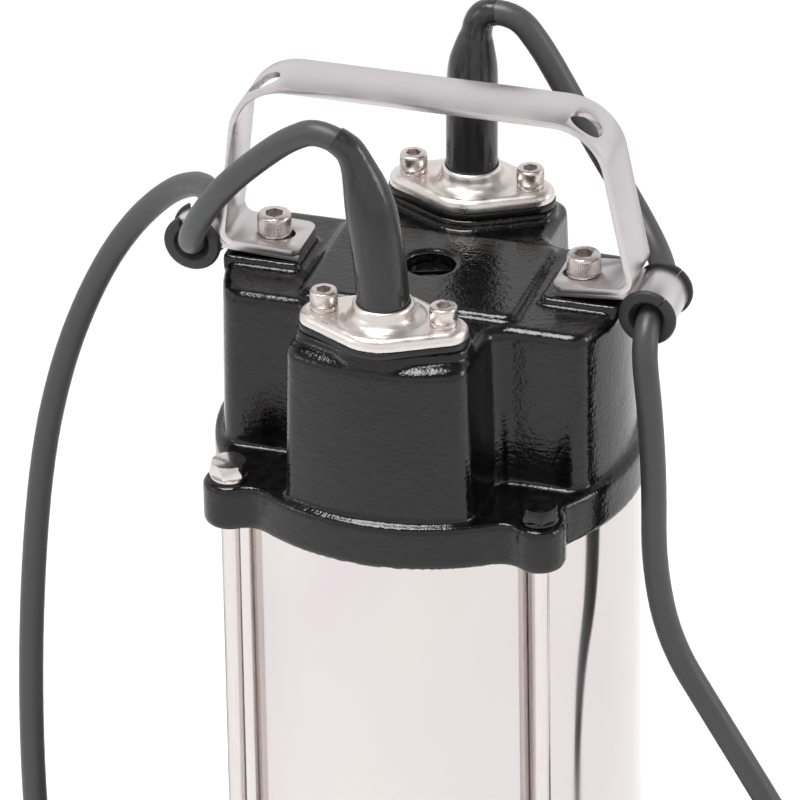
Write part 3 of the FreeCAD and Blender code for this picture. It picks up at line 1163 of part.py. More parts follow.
def discharge_elbow():
    flange_start = OUTLET_FACE + GASKET
    skin, top = elbow_bend(ELBOW_OUTER)
    bore = elbow_bend(OUTLET_RADIUS)[0]
    collar_bottom = ELBOW_TOP - ELBOW_THREAD_LENGTH - 6.0
    collar = turned([(ELBOW_OUTER - 1.0, collar_bottom), (ELBOW_OUTER, collar_bottom), (35.0, collar_bottom + 5.0),
                     (35.0, ELBOW_TOP - 8.0), (37.5, ELBOW_TOP - 7.0), (37.5, ELBOW_TOP - 1.0), (36.5, ELBOW_TOP),
                     (ELBOW_OUTER - 1.0, ELBOW_TOP)], top.x, top.y)
    collar = collar.fuse(cylinder(ELBOW_OUTER, collar_bottom + 1.0, ELBOW_TOP, top.x, top.y))
    body = merge([oval_flange(flange_start, flange_start + 8.0, 10.0, BOLT_CLEARANCE), skin, collar])
    thread = cylinder(ELBOW_THREAD_RADIUS, ELBOW_TOP - ELBOW_THREAD_LENGTH, ELBOW_TOP + 1.0, top.x, top.y)
    mouth = outlet_pipe(OUTLET_RADIUS, OUTLET_FACE, OUTLET_FACE + 9.0)
    add("discharge_elbow", body.cut([bore, thread, mouth]).removeSplitter())
    add("elbow_gasket", oval_flange(OUTLET_FACE, flange_start, OUTLET_RADIUS, BOLT_CLEARANCE))
    screws = []
    for side in (-1.0, 1.0):
        screw = socket_screw(M8_SOCKET, 0.0, 18.0, 0.0, 0.0)
        screw.rotate(Vector(0.0, 0.0, 0.0), Vector(1.0, 0.0, 0.0), -90.0)
        screws.append(moved(screw, OUTLET_X + side * BOLT_REACH, flange_start + 8.0, OUTLET_Z))
    add("elbow_screws", group(screws))


def build():
    add("top_cap", top_cap())
    add("centre_plug", centre_plug())
    glands()
    add("handle", handle())
    handle_fasteners()
    add("cable_clip_left", cable_clip(LEFT_FOOT, -1.0, LEFT_CLIP))
    add("cable_clip_right", cable_clip(RIGHT_FOOT, 1.0, RIGHT_CLIP))
    add("grommet_left", grommet(LEFT_CLIP, LEFT_SLIT))
    add("grommet_right", grommet(RIGHT_CLIP, RIGHT_SLIT))
    cords()
    mains_plug()
    float_switch()
    motor_housing()
    stator()
    rotor()
    add("upper_bearing_bracket", bearing_bracket())
    motor_electrics()
    oil_chamber()
    shaft_seals()
    impeller()
    add("volute_casing", volute_casing())
    add("pump_feet", pump_feet())
    add("suction_plate", suction_plate())
    pump_screws()
    discharge_elbow()


build()
os.makedirs("parts", exist_ok=True)
for node, solid in NODES.items():
    solid.exportStep("parts/" + node + ".step")
print(len(NODES), "nodes")
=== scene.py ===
import bpy
import json
import math
from mathutils import Matrix, Vector


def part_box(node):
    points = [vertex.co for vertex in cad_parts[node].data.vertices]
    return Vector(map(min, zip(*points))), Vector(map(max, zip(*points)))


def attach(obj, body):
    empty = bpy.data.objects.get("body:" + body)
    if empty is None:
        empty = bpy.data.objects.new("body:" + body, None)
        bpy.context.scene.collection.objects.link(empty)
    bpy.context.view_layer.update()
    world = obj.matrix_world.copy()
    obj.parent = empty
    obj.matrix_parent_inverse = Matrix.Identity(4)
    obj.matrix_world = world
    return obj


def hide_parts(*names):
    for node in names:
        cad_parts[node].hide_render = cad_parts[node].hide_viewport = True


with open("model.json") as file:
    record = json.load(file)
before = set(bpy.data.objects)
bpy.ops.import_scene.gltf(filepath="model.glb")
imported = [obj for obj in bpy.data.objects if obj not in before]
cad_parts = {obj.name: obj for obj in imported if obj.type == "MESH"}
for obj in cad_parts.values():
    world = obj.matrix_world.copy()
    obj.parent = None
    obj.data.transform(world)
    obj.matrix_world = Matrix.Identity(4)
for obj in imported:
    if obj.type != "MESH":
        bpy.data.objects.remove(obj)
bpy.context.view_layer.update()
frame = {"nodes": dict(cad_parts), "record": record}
nodes = frame["nodes"]
collection = bpy.context.scene.collection
bpy.ops.object.select_all(action="DESELECT")
print("frame loaded,", len(nodes), "nodes")


# small helpers, sizes are given in millimetres

def mm(value):
    return value / 1000.0


def place(point):
    return Vector([mm(value) for value in point])


def hexColour(code):
    channels = [int(code[i:i + 2], 16) / 255.0 for i in (1, 3, 5)]
    return [c / 12.92 if c <= 0.04045 else ((c + 0.055) / 1.055) ** 2.4 for c in channels] + [1.0]


def pick(piece):
    bpy.ops.object.select_all(action="DESELECT")
    piece.select_set(True)
    bpy.context.view_layer.objects.active = piece


def applyAll(piece):
    pick(piece)
    for modifier in list(piece.modifiers):
        bpy.ops.object.modifier_apply(modifier=modifier.name)


# a merged copy of a CAD node, to be worked on
def copyNode(node, name):
    piece = nodes[node].copy()
    piece.data = nodes[node].data.copy()
    piece.name = name
    piece.parent = None
    for key in list(piece.keys()):
        del piece[key]
    collection.objects.link(piece)
    pick(piece)
    bpy.ops.object.mode_set(mode="EDIT")
    bpy.ops.mesh.select_all(action="SELECT")
    bpy.ops.mesh.remove_doubles(threshold=0.00001)
    bpy.ops.mesh.customdata_custom_splitnormals_clear()
    bpy.ops.object.mode_set(mode="OBJECT")
    return piece


def smooth(piece, angle=40.0):
    pick(piece)
    bpy.ops.object.shade_smooth_by_angle(angle=math.radians(angle))


# round the sharp edges of a machined, bent or moulded piece
def softEdges(piece, width, angle=40.0):
    pick(piece)
    bpy.ops.object.mode_set(mode="EDIT")
    bpy.ops.mesh.select_all(action="SELECT")
    bpy.ops.mesh.dissolve_limited(angle_limit=math.radians(0.6))
    bpy.ops.object.mode_set(mode="OBJECT")
    bevel = piece.modifiers.new("edge", "BEVEL")
    bevel.width = mm(width)
    bevel.segments = 2
    bevel.limit_method = "ANGLE"
    bevel.angle_limit = math.radians(angle)
    bevel.use_clamp_overlap = True
    applyAll(piece)
    smooth(piece)
    return piece


# even out a skin's ripples and round its edges
def relax(piece, rounds):
    flow = piece.modifiers.new("relax", "SMOOTH")
    flow.factor = 0.5
    flow.iterations = rounds
    applyAll(piece)


# melt a piece into one skin with the round, slightly uneven edges of a casting under paint
def castSkin(piece, voxel, rounds):
    remesh = piece.modifiers.new("skin", "REMESH")
    remesh.mode = "VOXEL"
    remesh.voxel_size = mm(voxel)
    relax(piece, rounds)
    pick(piece)
    bpy.ops.object.shade_smooth()
    return piece


def joinTo(piece, others):
    bpy.ops.object.select_all(action="DESELECT")
    for other in others:
        other.select_set(True)
    piece.select_set(True)
    bpy.context.view_layer.objects.active = piece
    bpy.ops.object.join()
    return piece


# one material, the pump's body and the nodes that the piece stands for
def dress(piece, material, stands):
    piece.data.materials.clear()
    piece.data.materials.append(material)
    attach(piece, "pump")
    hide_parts(*stands)


# materials

def addNode(tree, kind, settings=None, links=None):
    node = tree.nodes.new(kind)
    for name, value in (settings or {}).items():
        if name in node.inputs:
            node.inputs[name].default_value = value
        else:
            setattr(node, name, value)
    for name, source in (links or {}).items():
        tree.links.new(source, node.inputs[name])
    return node


def newMaterial(name, settings):
    material = bpy.data.materials.new(name)
    material.use_nodes = True
    tree = material.node_tree
    shader = tree.nodes["Principled BSDF"]
    for key, value in settings.items():
        shader.inputs[key].default_value = value
    spot = addNode(tree, "ShaderNodeTexCoord").outputs["Object"]
    return material, tree, shader, spot


# object coordinates stretched or squeezed along each axis
def scaled(tree, spot, scale):
    return addNode(tree, "ShaderNodeMapping", {"Scale": scale}, {"Vector": spot}).outputs["Vector"]


# noise whose grains are about as wide as the given millimetres
def grains(tree, spot, width, detail=2.0, roughness=0.5):
    settings = {"Scale": 1.0 / mm(width), "Detail": detail, "Roughness": roughness}
    return addNode(tree, "ShaderNodeTexNoise", settings, {"Vector": spot}).outputs["Fac"]


def remap(tree, source, low, high, start=0.3, end=0.7):
    settings = {"From Min": start, "From Max": end, "To Min": low, "To Max": high}
    return addNode(tree, "ShaderNodeMapRange", settings, {"Value": source}).outputs["Result"]


def bump(tree, shader, height, depth, under=None):
    links = {"Height": height}
    if under:
        links["Normal"] = under
    node = addNode(tree, "ShaderNodeBump", {"Strength": 1.0, "Distance": mm(depth)}, links)
    tree.links.new(node.outputs["Normal"], shader.inputs["Normal"])
    return node.outputs["Normal"]


def colourBetween(tree, shader, source, first, second):
    mix = addNode(tree, "ShaderNodeMix", {"data_type": "RGBA"})
    share, colourA, colourB = mix.inputs[0], mix.inputs[6], mix.inputs[7]
    colourA.default_value = hexColour(first)
    colourB.default_value = hexColour(second)
    tree.links.new(source, share)
    tree.links.new(mix.outputs[2], shader.inputs["Base Color"])


def roughBetween(tree, shader, source, low, high):
    tree.links.new(remap(tree, source, low, high), shader.inputs["Roughness"])


# gloss enamel on a sand casting: near black, mirror-like, with orange peel over the casting's own waves, and
# a painted sheen in its colour that follows the peel
def enamelOnCasting():
    material, tree, shader, spot = newMaterial("enamelOnCasting", {"IOR": 1.47})
    peel = grains(tree, scaled(tree, spot, (1.0, 1.0, 2.2)), width=4.0)
    speckle = grains(tree, spot, width=1.5, roughness=0.6)
    waves = grains(tree, spot, width=13.0, detail=1.5)
    # painted sheen: the near-black colour lightens and darkens with the orange peel, standing in for the
    # peel's shifting reflections
    tintsAndPaintedSheen = remap(tree, peel, low=0.0, high=1.0, start=0.35, end=0.65)
    colourBetween(tree, shader, tintsAndPaintedSheen, "#050506", "#111112")
    roughBetween(tree, shader, grains(tree, spot, width=3.0, detail=3.0), low=0.08, high=0.17)
    under = bump(tree, shader, waves, depth=0.22)
    under = bump(tree, shader, peel, depth=0.14, under=under)
    bump(tree, shader, speckle, depth=0.16, under=under)
    return material


# stainless tube, polished: bright, with faint polishing lines round the shell and soft clouds of wear
def polishedTube():
    material, tree, shader, spot = newMaterial("polishedStainlessTube", {"Metallic": 1.0})
    lines = grains(tree, scaled(tree, spot, (1.0, 1.0, 22.0)), width=9.0, detail=3.0)
    clouds = grains(tree, spot, width=38.0, detail=1.0)
    tintsAndPaintedSheen = remap(tree, grains(tree, spot, width=70.0, detail=1.0), low=0.0, high=1.0, start=0.35, end=0.65)
    colourBetween(tree, shader, tintsAndPaintedSheen, "#D2C9CC", "#D6D1CD")
    roughBetween(tree, shader, clouds, low=0.07, high=0.13)
    bump(tree, shader, lines, depth=0.003)
    return material


# stainless strip, rolled and bent: satin grey, with fine scratches along the strip
def rolledStrip():
    material, tree, shader, spot = newMaterial("rolledStainlessStrip", {"Metallic": 1.0})
    lines = grains(tree, scaled(tree, spot, (1.0, 14.0, 1.0)), width=7.0, detail=4.0)
    clouds = grains(tree, spot, width=16.0)
    colourBetween(tree, shader, clouds, "#C8C2C4", "#D9D3D4")
    roughBetween(tree, shader, clouds, low=0.26, high=0.38)
    bump(tree, shader, lines, depth=0.006)
    return material


# stainless pressing, tumbled and polished: bright, a little uneven
def polishedPressing():
    material, tree, shader, spot = newMaterial("polishedStainlessPressing", {"Metallic": 1.0})
    dents = grains(tree, spot, width=5.0)
    colourBetween(tree, shader, grains(tree, spot, width=9.0), "#DCD4CF", "#EAE3DF")
    roughBetween(tree, shader, dents, low=0.26, high=0.40)
    bump(tree, shader, dents, depth=0.06)
    return material


# stainless screw, cold headed: bright with dull turned faces
def headedScrew():
    material, tree, shader, spot = newMaterial("headedStainlessScrew", {"Metallic": 1.0})
    grime = grains(tree, spot, width=2.2, detail=3.0)
    colourBetween(tree, shader, grime, "#C2B8B2", "#E2DBD7")
    roughBetween(tree, shader, grime, low=0.22, high=0.38)
    bump(tree, shader, grains(tree, spot, width=0.7), depth=0.008)
    return material


# bright drawn hexagon: polished, with upright drawing lines
def drawnRod():
    material, tree, shader, spot = newMaterial("drawnStainlessRod", {"Metallic": 1.0})
    lines = grains(tree, scaled(tree, spot, (1.0, 1.0, 0.08)), width=1.1)
    colourBetween(tree, shader, lines, "#CFC6C2", "#DED8D5")
    roughBetween(tree, shader, lines, low=0.12, high=0.24)
    bump(tree, shader, lines, depth=0.01)
    return material


# nitrile or chloroprene moulding: dark, a soft sheen, faint flow marks
def mouldedRubber(name, dark, light, low, high):
    material, tree, shader, spot = newMaterial(name, {"IOR": 1.5})
    marks = grains(tree, spot, width=4.0, detail=3.0)
    colourBetween(tree, shader, marks, dark, light)
    roughBetween(tree, shader, marks, low, high)
    bump(tree, shader, grains(tree, spot, width=0.8), depth=0.02)
    return material


# shrink sleeve: stretched rubber with long drawn streaks and a broad sheen
def shrunkSleeve():
    material, tree, shader, spot = newMaterial("shrunkRubberSleeve", {"IOR": 1.5})
    streaks = grains(tree, scaled(tree, spot, (1.0, 1.0, 0.12)), width=2.2, detail=3.0)
    colourBetween(tree, shader, streaks, "#202021", "#2E2E2F")
    roughBetween(tree, shader, streaks, low=0.12, high=0.30)
    under = bump(tree, shader, streaks, depth=0.22)
    bump(tree, shader, grains(tree, spot, width=0.9), depth=0.012, under=under)
    return material


# polypropylene moulding: matt with the fine spark texture of its mould
def mouldedPlastic(name, dark, light):
    material, tree, shader, spot = newMaterial(name, {"IOR": 1.49})
    colourBetween(tree, shader, grains(tree, spot, width=12.0), dark, light)
    roughBetween(tree, shader, grains(tree, spot, width=2.0), low=0.38, high=0.52)
    bump(tree, shader, grains(tree, spot, width=0.6), depth=0.02)
    return material


# plain metals of the inner works, turned or stacked
def innerMetal(name, dark, light, low, high, width):
    material, tree, shader, spot = newMaterial(name, {"Metallic": 1.0})
    marks = grains(tree, spot, width, detail=3.0)
    colourBetween(tree, shader, marks, dark, light)
    roughBetween(tree, shader, marks, low, high)
    bump(tree, shader, marks, depth=0.02)
    return material


enamel = enamelOnCasting()
tube = polishedTube()
strip = rolledStrip()
pressing = polishedPressing()
screwSteel = headedScrew()
rodSteel = drawnRod()
sleeveRubber = shrunkSleeve()
cableRubber = mouldedRubber("chloropreneCableSheath", "#373738", "#404041", low=0.38, high=0.50)
grommetRubber = mouldedRubber("nitrileGrommet", "#1F1F20", "#292929", low=0.42, high=0.58)
gasketRubber = mouldedRubber("nitrileGasket", "#070707", "#0E0E0E", low=0.22, high=0.42)
plugRubber = mouldedRubber("mouldedPlugRubber", "#1A1A1A", "#222222", low=0.45, high=0.60)
floatPlastic = mouldedPlastic("polypropyleneFloat", "#1B1B1C", "#232324")
greyPlastic = mouldedPlastic("polyamideHousing", "#8D8C88", "#A3A29E")
ceramic = mouldedPlastic("ceramicSealRing", "#B9B4AB", "#C9C5BD")
pinBrass = innerMetal("nickelPlatedBrass", "#B9B5A8", "#CFCBC0", low=0.18, high=0.30, width=3.0)
bearingSteel = innerMetal("groundBearingSteel", "#B9BBBE", "#CFD1D3", low=0.10, high=0.20, width=4.0)
lamination = innerMetal("varnishedLaminations", "#57585C", "#6C6D70", low=0.30, high=0.45, width=2.0)
copper = innerMetal("varnishedCopperWire", "#8E4526", "#B5633A", low=0.28, high=0.42, width=1.2)
shaftSteel = innerMetal("groundShaftSteel", "#B2B3B4", "#C6C7C8", low=0.15, high=0.28, width=5.0)
bareIron = innerMetal("bareCastIron", "#3A3A3B", "#4C4B4A", low=0.42, high=0.62, width=1.6)
print("materials made")

slotMaterial = {
    "cap_enamel": enamel, "shell_steel": tube, "strip_steel": strip, "screw_steel": screwSteel,
    "black_rubber": gasketRubber, "cable_rubber": cableRubber, "pin_brass": pinBrass,
    "float_plastic": floatPlastic, "bearing_steel": bearingSteel, "lamination_steel": lamination,
    "winding_copper": copper, "shaft_steel": shaftSteel, "cast_iron": bareIron,
    "seal_ceramic": ceramic, "grey_plastic": greyPlastic,
}
# nodes that no piece stands for show the material of their slot
for part in frame["record"]["subparts"]:
    mesh = nodes[part["node"]].data
    mesh.materials.clear()
    mesh.materials.append(slotMaterial[part["material_slot"]])


# top cap: the casting closed inside, melted into one enamelled skin
topCap = {
    "voxel": 0.9, "rounds": 5, "roundsAfter": 5,
    "fillReach": 66.0, "fillHalf": 31.0, "fillLow": 371.0, "fillHigh": 443.5, "lidRadius": 80.8, "lid": 3.0,
}
glandPad = {
    "reach": 56.8, "bore": 6.0, "low": 446.5, "high": 453.2, "step": 0.9, "stepShare": 0.25, "slope": 1.3,
    "faceFrom": 66.0, "faceTo": 72.0, "fadeFrom": 34.0, "fadeTo": 42.0,
}


# how far a value has come from start to end, between nought and one
def between(value, start, end):
    return min(max((value - start) / (end - start), 0.0), 1.0)


# the outer sides of the gland pads lean in under the flanges, from a ledge over the lobe's face
def leanPads(piece, pad):
    for vertex in piece.data.vertices:
        x, y, z = vertex.co * 1000.0
        centre = Vector((0.0, math.copysign(pad["reach"], y)))
        away = Vector((x, y)) - centre
        if z > pad["low"] and away.length > pad["bore"]:
            rise = between(z, pad["low"], pad["high"])
            inward = pad["step"] * min(rise / pad["stepShare"], 1.0) + pad["slope"] * rise
            inward *= between(abs(y), pad["faceFrom"], pad["faceTo"])
            inward *= between(away.length, pad["fadeTo"], pad["fadeFrom"])
            vertex.co.xy = (centre + away * (1.0 - inward / away.length)) / 1000.0


def makeTopCap(size):
    piece = copyNode("top_cap", "topCap")
    middle = mm((size["fillLow"] + size["fillHigh"]) / 2.0)
    tall = mm(size["fillHigh"] - size["fillLow"])
    fillers = []
    for halfX, halfY in ((size["fillReach"], size["fillHalf"]), (size["fillHalf"], size["fillReach"])):
        bpy.ops.mesh.primitive_cube_add(size=1.0, location=(0.0, 0.0, middle))
        filler = bpy.context.object
        filler.scale = (mm(2.0 * halfX), mm(2.0 * halfY), tall)
        bpy.ops.object.transform_apply(location=True, rotation=True, scale=True)
        fillers.append(filler)
    bpy.ops.mesh.primitive_cylinder_add(vertices=64, radius=mm(size["lidRadius"]), depth=mm(size["lid"]),
                                        location=(0.0, 0.0, mm(size["fillLow"] + size["lid"] / 2.0)))
    bpy.ops.object.transform_apply(location=True, rotation=True, scale=True)
    fillers.append(bpy.context.object)
    joinTo(piece, fillers)
    castSkin(piece, size["voxel"], size["rounds"])
    leanPads(piece, glandPad)
    relax(piece, size["roundsAfter"])
    dress(piece, enamel, stands=["top_cap"])


makeTopCap(topCap)
print("top cap made")


# socket head screws: knurled head, hexagon socket, plain shank
capScrews = {
    "gland": {
        "head": 5.3, "tall": 6.0, "flats": 5.2, "shank": 3.0, "length": 20.0, "ridges": 40, "knurl": 0.965,
    },
    "handle": {
        "head": 6.5, "tall": 7.2, "flats": 6.4, "shank": 4.0, "length": 24.0, "ridges": 56, "knurl": 0.955,
    },
    "foot": [(0.0, 0.93), (0.35, 1.0)],
    "crown": [(-1.25, 1.0), (-1.15, 0.985), (-0.55, 0.965), (-0.18, 0.915), (0.0, 0.84)],
    "knurled": 0.995, "socket": 0.55, "sunk": 0.5, "firstTurn": 17.0, "nextTurn": 41.0,
    "glandReach": (23.3, 56.8), "handleReach": 61.0,
}


def makeCapScrew(name, size):
    radius = mm(size["head"])
    tall = mm(size["tall"])
    heights = [mm(rise) for rise, share in capScrews["foot"]]
    heights += [tall + mm(rise) for rise, share in capScrews["crown"]]
    shares = [share for rise, share in capScrews["foot"] + capScrews["crown"]]
    sides = 2 * size["ridges"]
    bpy.ops.mesh.primitive_circle_add(vertices=sides, radius=radius * shares[0], fill_type="NGON")
    head = bpy.context.object
    head.name = name
    bpy.ops.object.mode_set(mode="EDIT")
    bpy.ops.mesh.select_all(action="SELECT")
    for index in range(1, len(heights)):
        lift = heights[index] - heights[index - 1]
        bpy.ops.mesh.extrude_region_move(TRANSFORM_OT_translate={"value": (0.0, 0.0, lift)})
        grow = shares[index] / shares[index - 1]
        bpy.ops.transform.resize(value=(grow, grow, 1.0))
    bpy.ops.mesh.select_all(action="SELECT")
    bpy.ops.mesh.normals_make_consistent(inside=False)
    bpy.ops.object.mode_set(mode="OBJECT")
    step = 2.0 * math.pi / sides
    for vertex in head.data.vertices:
        turn = math.atan2(vertex.co.y, vertex.co.x)
        if vertex.co.xy.length > radius * capScrews["knurled"] and round(turn / step) % 2:
            vertex.co.xy *= size["knurl"]
    bpy.ops.mesh.primitive_cylinder_add(vertices=6, radius=mm(size["flats"] / math.sqrt(3.0)), depth=tall,
                                        location=(0.0, 0.0, tall * (1.5 - capScrews["socket"])))
    cutter = bpy.context.object
    cut = head.modifiers.new("socket", "BOOLEAN")
    cut.operation = "DIFFERENCE"
    cut.object = cutter
    applyAll(head)
    bpy.data.objects.remove(cutter)
    length = mm(size["length"])
    sunk = mm(capScrews["sunk"])
    bpy.ops.mesh.primitive_cylinder_add(vertices=24, radius=mm(size["shank"]), depth=length + sunk,
                                        location=(0.0, 0.0, (sunk - length) / 2.0))
    bpy.ops.object.transform_apply(location=True, rotation=True, scale=True)
    joinTo(head, [bpy.context.object])
    smooth(head)
    return head


# copies of a piece at several places, each turned a little, joined as one piece
def setOut(pattern, places, name):
    copies = []
    for index, spot in enumerate(places):
        copied = pattern.copy()
        copied.data = pattern.data.copy()
        collection.objects.link(copied)
        turn = math.radians(capScrews["firstTurn"] + capScrews["nextTurn"] * index)
        copied.data.transform(Matrix.Translation(place(spot)) @ Matrix.Rotation(turn, 4, "Z"))
        copies.append(copied)
    piece = joinTo(copies[0], copies[1:])
    piece.name = name
    return piece


glandScrew = makeCapScrew("glandScrewPattern", capScrews["gland"])
handleScrew = makeCapScrew("handleScrewPattern", capScrews["handle"])
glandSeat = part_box("gland_washers")[1].z * 1000.0
glandX, glandY = capScrews["glandReach"]
glandPlaces = [(x, y, glandSeat) for x in (-glandX, glandX) for y in (-glandY, glandY)]
dress(setOut(glandScrew, glandPlaces, "glandScrews"), screwSteel, stands=["gland_screws"])
leftSeat = max(v.co.z for v in nodes["handle_washers"].data.vertices if v.co.x < 0.0) * 1000.0
rightSeat = max(v.co.z for v in nodes["handle_washers"].data.vertices if v.co.x > 0.0) * 1000.0
handleX = capScrews["handleReach"]
handlePlaces = [(-handleX, 0.0, leftSeat), (handleX, 0.0, rightSeat)]
dress(setOut(handleScrew, handlePlaces, "handleScrews"), screwSteel, stands=["handle_screws"])
for pattern in (glandScrew, handleScrew):
    bpy.data.objects.remove(pattern)
print("screws made")


# gland flanges: pressed plates with a drawn neck, edges rolled round by the press
flanges = {"voxel": 0.45, "rounds": 4}
for side in ("front", "rear"):
    flange = castSkin(copyNode("gland_flange_" + side, "glandFlange" + side.capitalize()),
                      flanges["voxel"], flanges["rounds"])
    dress(flange, pressing, stands=["gland_flange_" + side])
print("gland flanges made")


# bent, turned and moulded pieces that keep their CAD form and get soft edges
softened = [
    ("handle", "strapHandle", 0.45, strip, "strip_steel", 40.0),
    ("cable_clip_left", "cableClipLeft", 0.15, strip, "strip_steel", 50.0),
    ("cable_clip_right", "cableClipRight", 0.15, strip, "strip_steel", 50.0),
    ("gland_washers", "glandWashers", 0.25, screwSteel, "screw_steel", 40.0),
    ("handle_washers", "handleWashers", 0.2, screwSteel, "screw_steel", 40.0),
    ("gland_gaskets", "glandGaskets", 0.4, gasketRubber, "black_rubber", 40.0),
    ("grommet_left", "grommetLeft", 0.14, grommetRubber, "black_rubber", 40.0),
    ("grommet_right", "grommetRight", 0.14, grommetRubber, "black_rubber", 40.0),
    ("tie_rod_nuts", "tieRodNuts", 0.4, screwSteel, "screw_steel", 40.0),
    ("casing_screws", "casingScrews", 0.4, screwSteel, "screw_steel", 40.0),
    ("suction_screws", "suctionScrews", 0.4, screwSteel, "screw_steel", 40.0),
    ("elbow_screws", "elbowScrews", 0.4, screwSteel, "screw_steel", 40.0),
    ("centre_plug", "centrePlug", 0.3, enamel, "cap_enamel", 40.0),
    ("oil_plug", "oilPlug", 0.5, enamel, "cap_enamel", 40.0),
    ("pump_feet", "pumpFeet", 0.6, enamel, "cap_enamel", 40.0),
    ("plug_body", "plugBody", 0.8, plugRubber, "black_rubber", 40.0),
    ("float_shell_lower", "floatShellLower", 0.6, floatPlastic, "float_plastic", 60.0),
    ("float_shell_upper", "floatShellUpper", 0.6, floatPlastic, "float_plastic", 60.0),
]
for node, name, width, material, slot, angle in softened:
    piece = softEdges(copyNode(node, name), width, angle)
    dress(piece, material, stands=[node])
print("softened pieces made")


# tie rods: bare heads, but the one at the front right was painted over with the cap
rods = {"reach": 61.0, "headTurn": 28.0, "headFrom": 384.0, "washerHole": 6.0, "washerShare": 0.87}


def makeTieRods():
    turned = Matrix.Rotation(math.radians(rods["headTurn"]), 3, "Z")
    for node, name, width in (("tie_rods", "tieRods", 0.22), ("tie_rod_washers", "tieRodWashers", 0.3)):
        piece = softEdges(copyNode(node, name), width)
        for vertex in piece.data.vertices:
            axis = Vector([math.copysign(mm(rods["reach"]), value) for value in vertex.co.xy] + [0.0])
            away = vertex.co - axis
            if node == "tie_rods" and vertex.co.z > mm(rods["headFrom"]):
                vertex.co = axis + turned @ away
            elif node == "tie_rod_washers" and away.xy.length > mm(rods["washerHole"]):
                away.xy *= rods["washerShare"]
                vertex.co = axis + away
        dress(piece, rodSteel, stands=[node])
        piece.data.materials.append(enamel)
        for face in piece.data.polygons:
            centre = face.center
            if centre.x > 0.0 and centre.y < 0.0 and centre.z > mm(rods["headFrom"]):
                face.material_index = 1


makeTieRods()

# sand castings of the pump end, under the same enamel
castings = [
    ("oil_chamber", "oilChamber", 1.5, 3), ("volute_casing", "voluteCasing", 1.6, 4),
    ("suction_plate", "suctionPlate", 1.1, 2), ("discharge_elbow", "dischargeElbow", 1.4, 3),
]
for node, name, voxel, rounds in castings:
    dress(castSkin(copyNode(node, name), voxel, rounds), enamel, stands=[node])
print("castings made")


# rubber sleeves: points up the middle with a radius at each, narrowing onto the cable
sleeves = {
    "front": [(0.0, -56.8, 446.0, 9.95), (0.0, -56.8, 457.0, 9.95), (0.0, -56.8, 468.0, 9.95),
              (-1.4, -57.0, 487.0, 9.95), (-4.0, -57.0, 504.0, 9.8), (-6.2, -57.0, 513.5, 8.5),
              (-8.4, -57.0, 520.5, 6.8), (-10.3, -57.0, 525.6, 5.9), (-12.9, -57.0, 529.6, 5.6),
              (-17.6, -56.8, 532.1, 5.2)],
    "rear": [(0.0, 56.8, 446.0, 9.95), (0.0, 56.8, 458.0, 9.95), (0.0, 56.8, 470.0, 9.95),
             (0.3, 57.0, 494.0, 9.95), (0.7, 57.0, 509.0, 9.7), (1.4, 57.0, 516.0, 8.1),
             (2.0, 57.0, 521.0, 6.7), (2.4, 57.0, 523.2, 5.9), (3.4, 57.0, 528.4, 5.8),
             (6.2, 57.0, 532.3, 5.6), (10.8, 57.0, 532.95, 5.2)],
}
sleeveCurve = {"bevel": 10.0, "steps": 8, "sides": 12}


# a round line through the pull of its points, as thick as its bevel times the radius at each
def curveOf(name, points, radii, size):
    curve = bpy.data.curves.new(name, "CURVE")
    curve.dimensions = "3D"
    spline = curve.splines.new("NURBS")
    spline.points.add(len(points) - 1)
    for control, point, radius in zip(spline.points, points, radii):
        control.co = (*place(point), 1.0)
        control.radius = radius
    spline.order_u = 3
    spline.use_endpoint_u = True
    spline.resolution_u = size["steps"]
    curve.bevel_depth = mm(size["bevel"])
    curve.bevel_resolution = size["sides"]
    curve.use_fill_caps = True
    piece = bpy.data.objects.new(name, curve)
    collection.objects.link(piece)
    return piece


def makeSleeve(side, stations):
    points = [station[:3] for station in stations]
    radii = [station[3] / sleeveCurve["bevel"] for station in stations]
    piece = curveOf("sleeve" + side.capitalize(), points, radii, sleeveCurve)
    pick(piece)
    bpy.ops.object.convert(target="MESH")
    piece = bpy.context.object
    smooth(piece, angle=60.0)
    dress(piece, sleeveRubber, stands=["cable_sleeve_" + side])


for side, stations in sleeves.items():
    makeSleeve(side, stations)
print("sleeves made")


# cables: the same route points as the CAD tubes, as the control points of one smooth line each
cable = {"diameter": 9.8, "bevel": 4.9, "rest": 5.4, "steps": 6, "sides": 6}
coil = {"centre": (40.0, 208.0), "radius": 76.1, "loops": 3, "layers": 4, "pitch": 11.5, "perTurn": 16}
mainsRoute = [
    (-13.5, -57.0, 529.9), (-23.6, -56.2, 535.0), (-36.0, -54.0, 528.6),
    (-49.0, -50.2, 516.8), (-64.4, -44.5, 500.6), (-77.4, -36.0, 482.0), (-86.8, -24.5, 463.6),
    (-90.0, -11.0, 454.6), (-90.0, 9.0, 456.0), (-94.0, 24.0, 458.4), (-104.5, 37.0, 454.2),
    (-122.0, 52.0, 440.0), (-143.0, 63.0, 414.5), (-159.5, 67.5, 385.0), (-172.0, 64.5, 351.0),
    (-180.0, 58.0, 310.0), (-182.6, 47.0, 252.0), (-180.5, 34.0, 190.0), (-175.5, 26.0, 130.0),
    (-170.0, 30.0, 78.0), (-160.0, 47.0, 36.0), (-145.0, 75.0, 9.5), (-122.0, 106.0, 5.4),
    (-88.0, 125.5, 5.4), (-44.0, 133.6, 5.4), (0.0, 131.2, 5.4),
]
tailRoute = [
    (20.0, 283.8, 39.9), (-4.0, 283.4, 37.2), (-30.0, 279.0, 28.0),
    (-54.0, 271.4, 20.4), (-76.0, 263.0, 19.0),
]
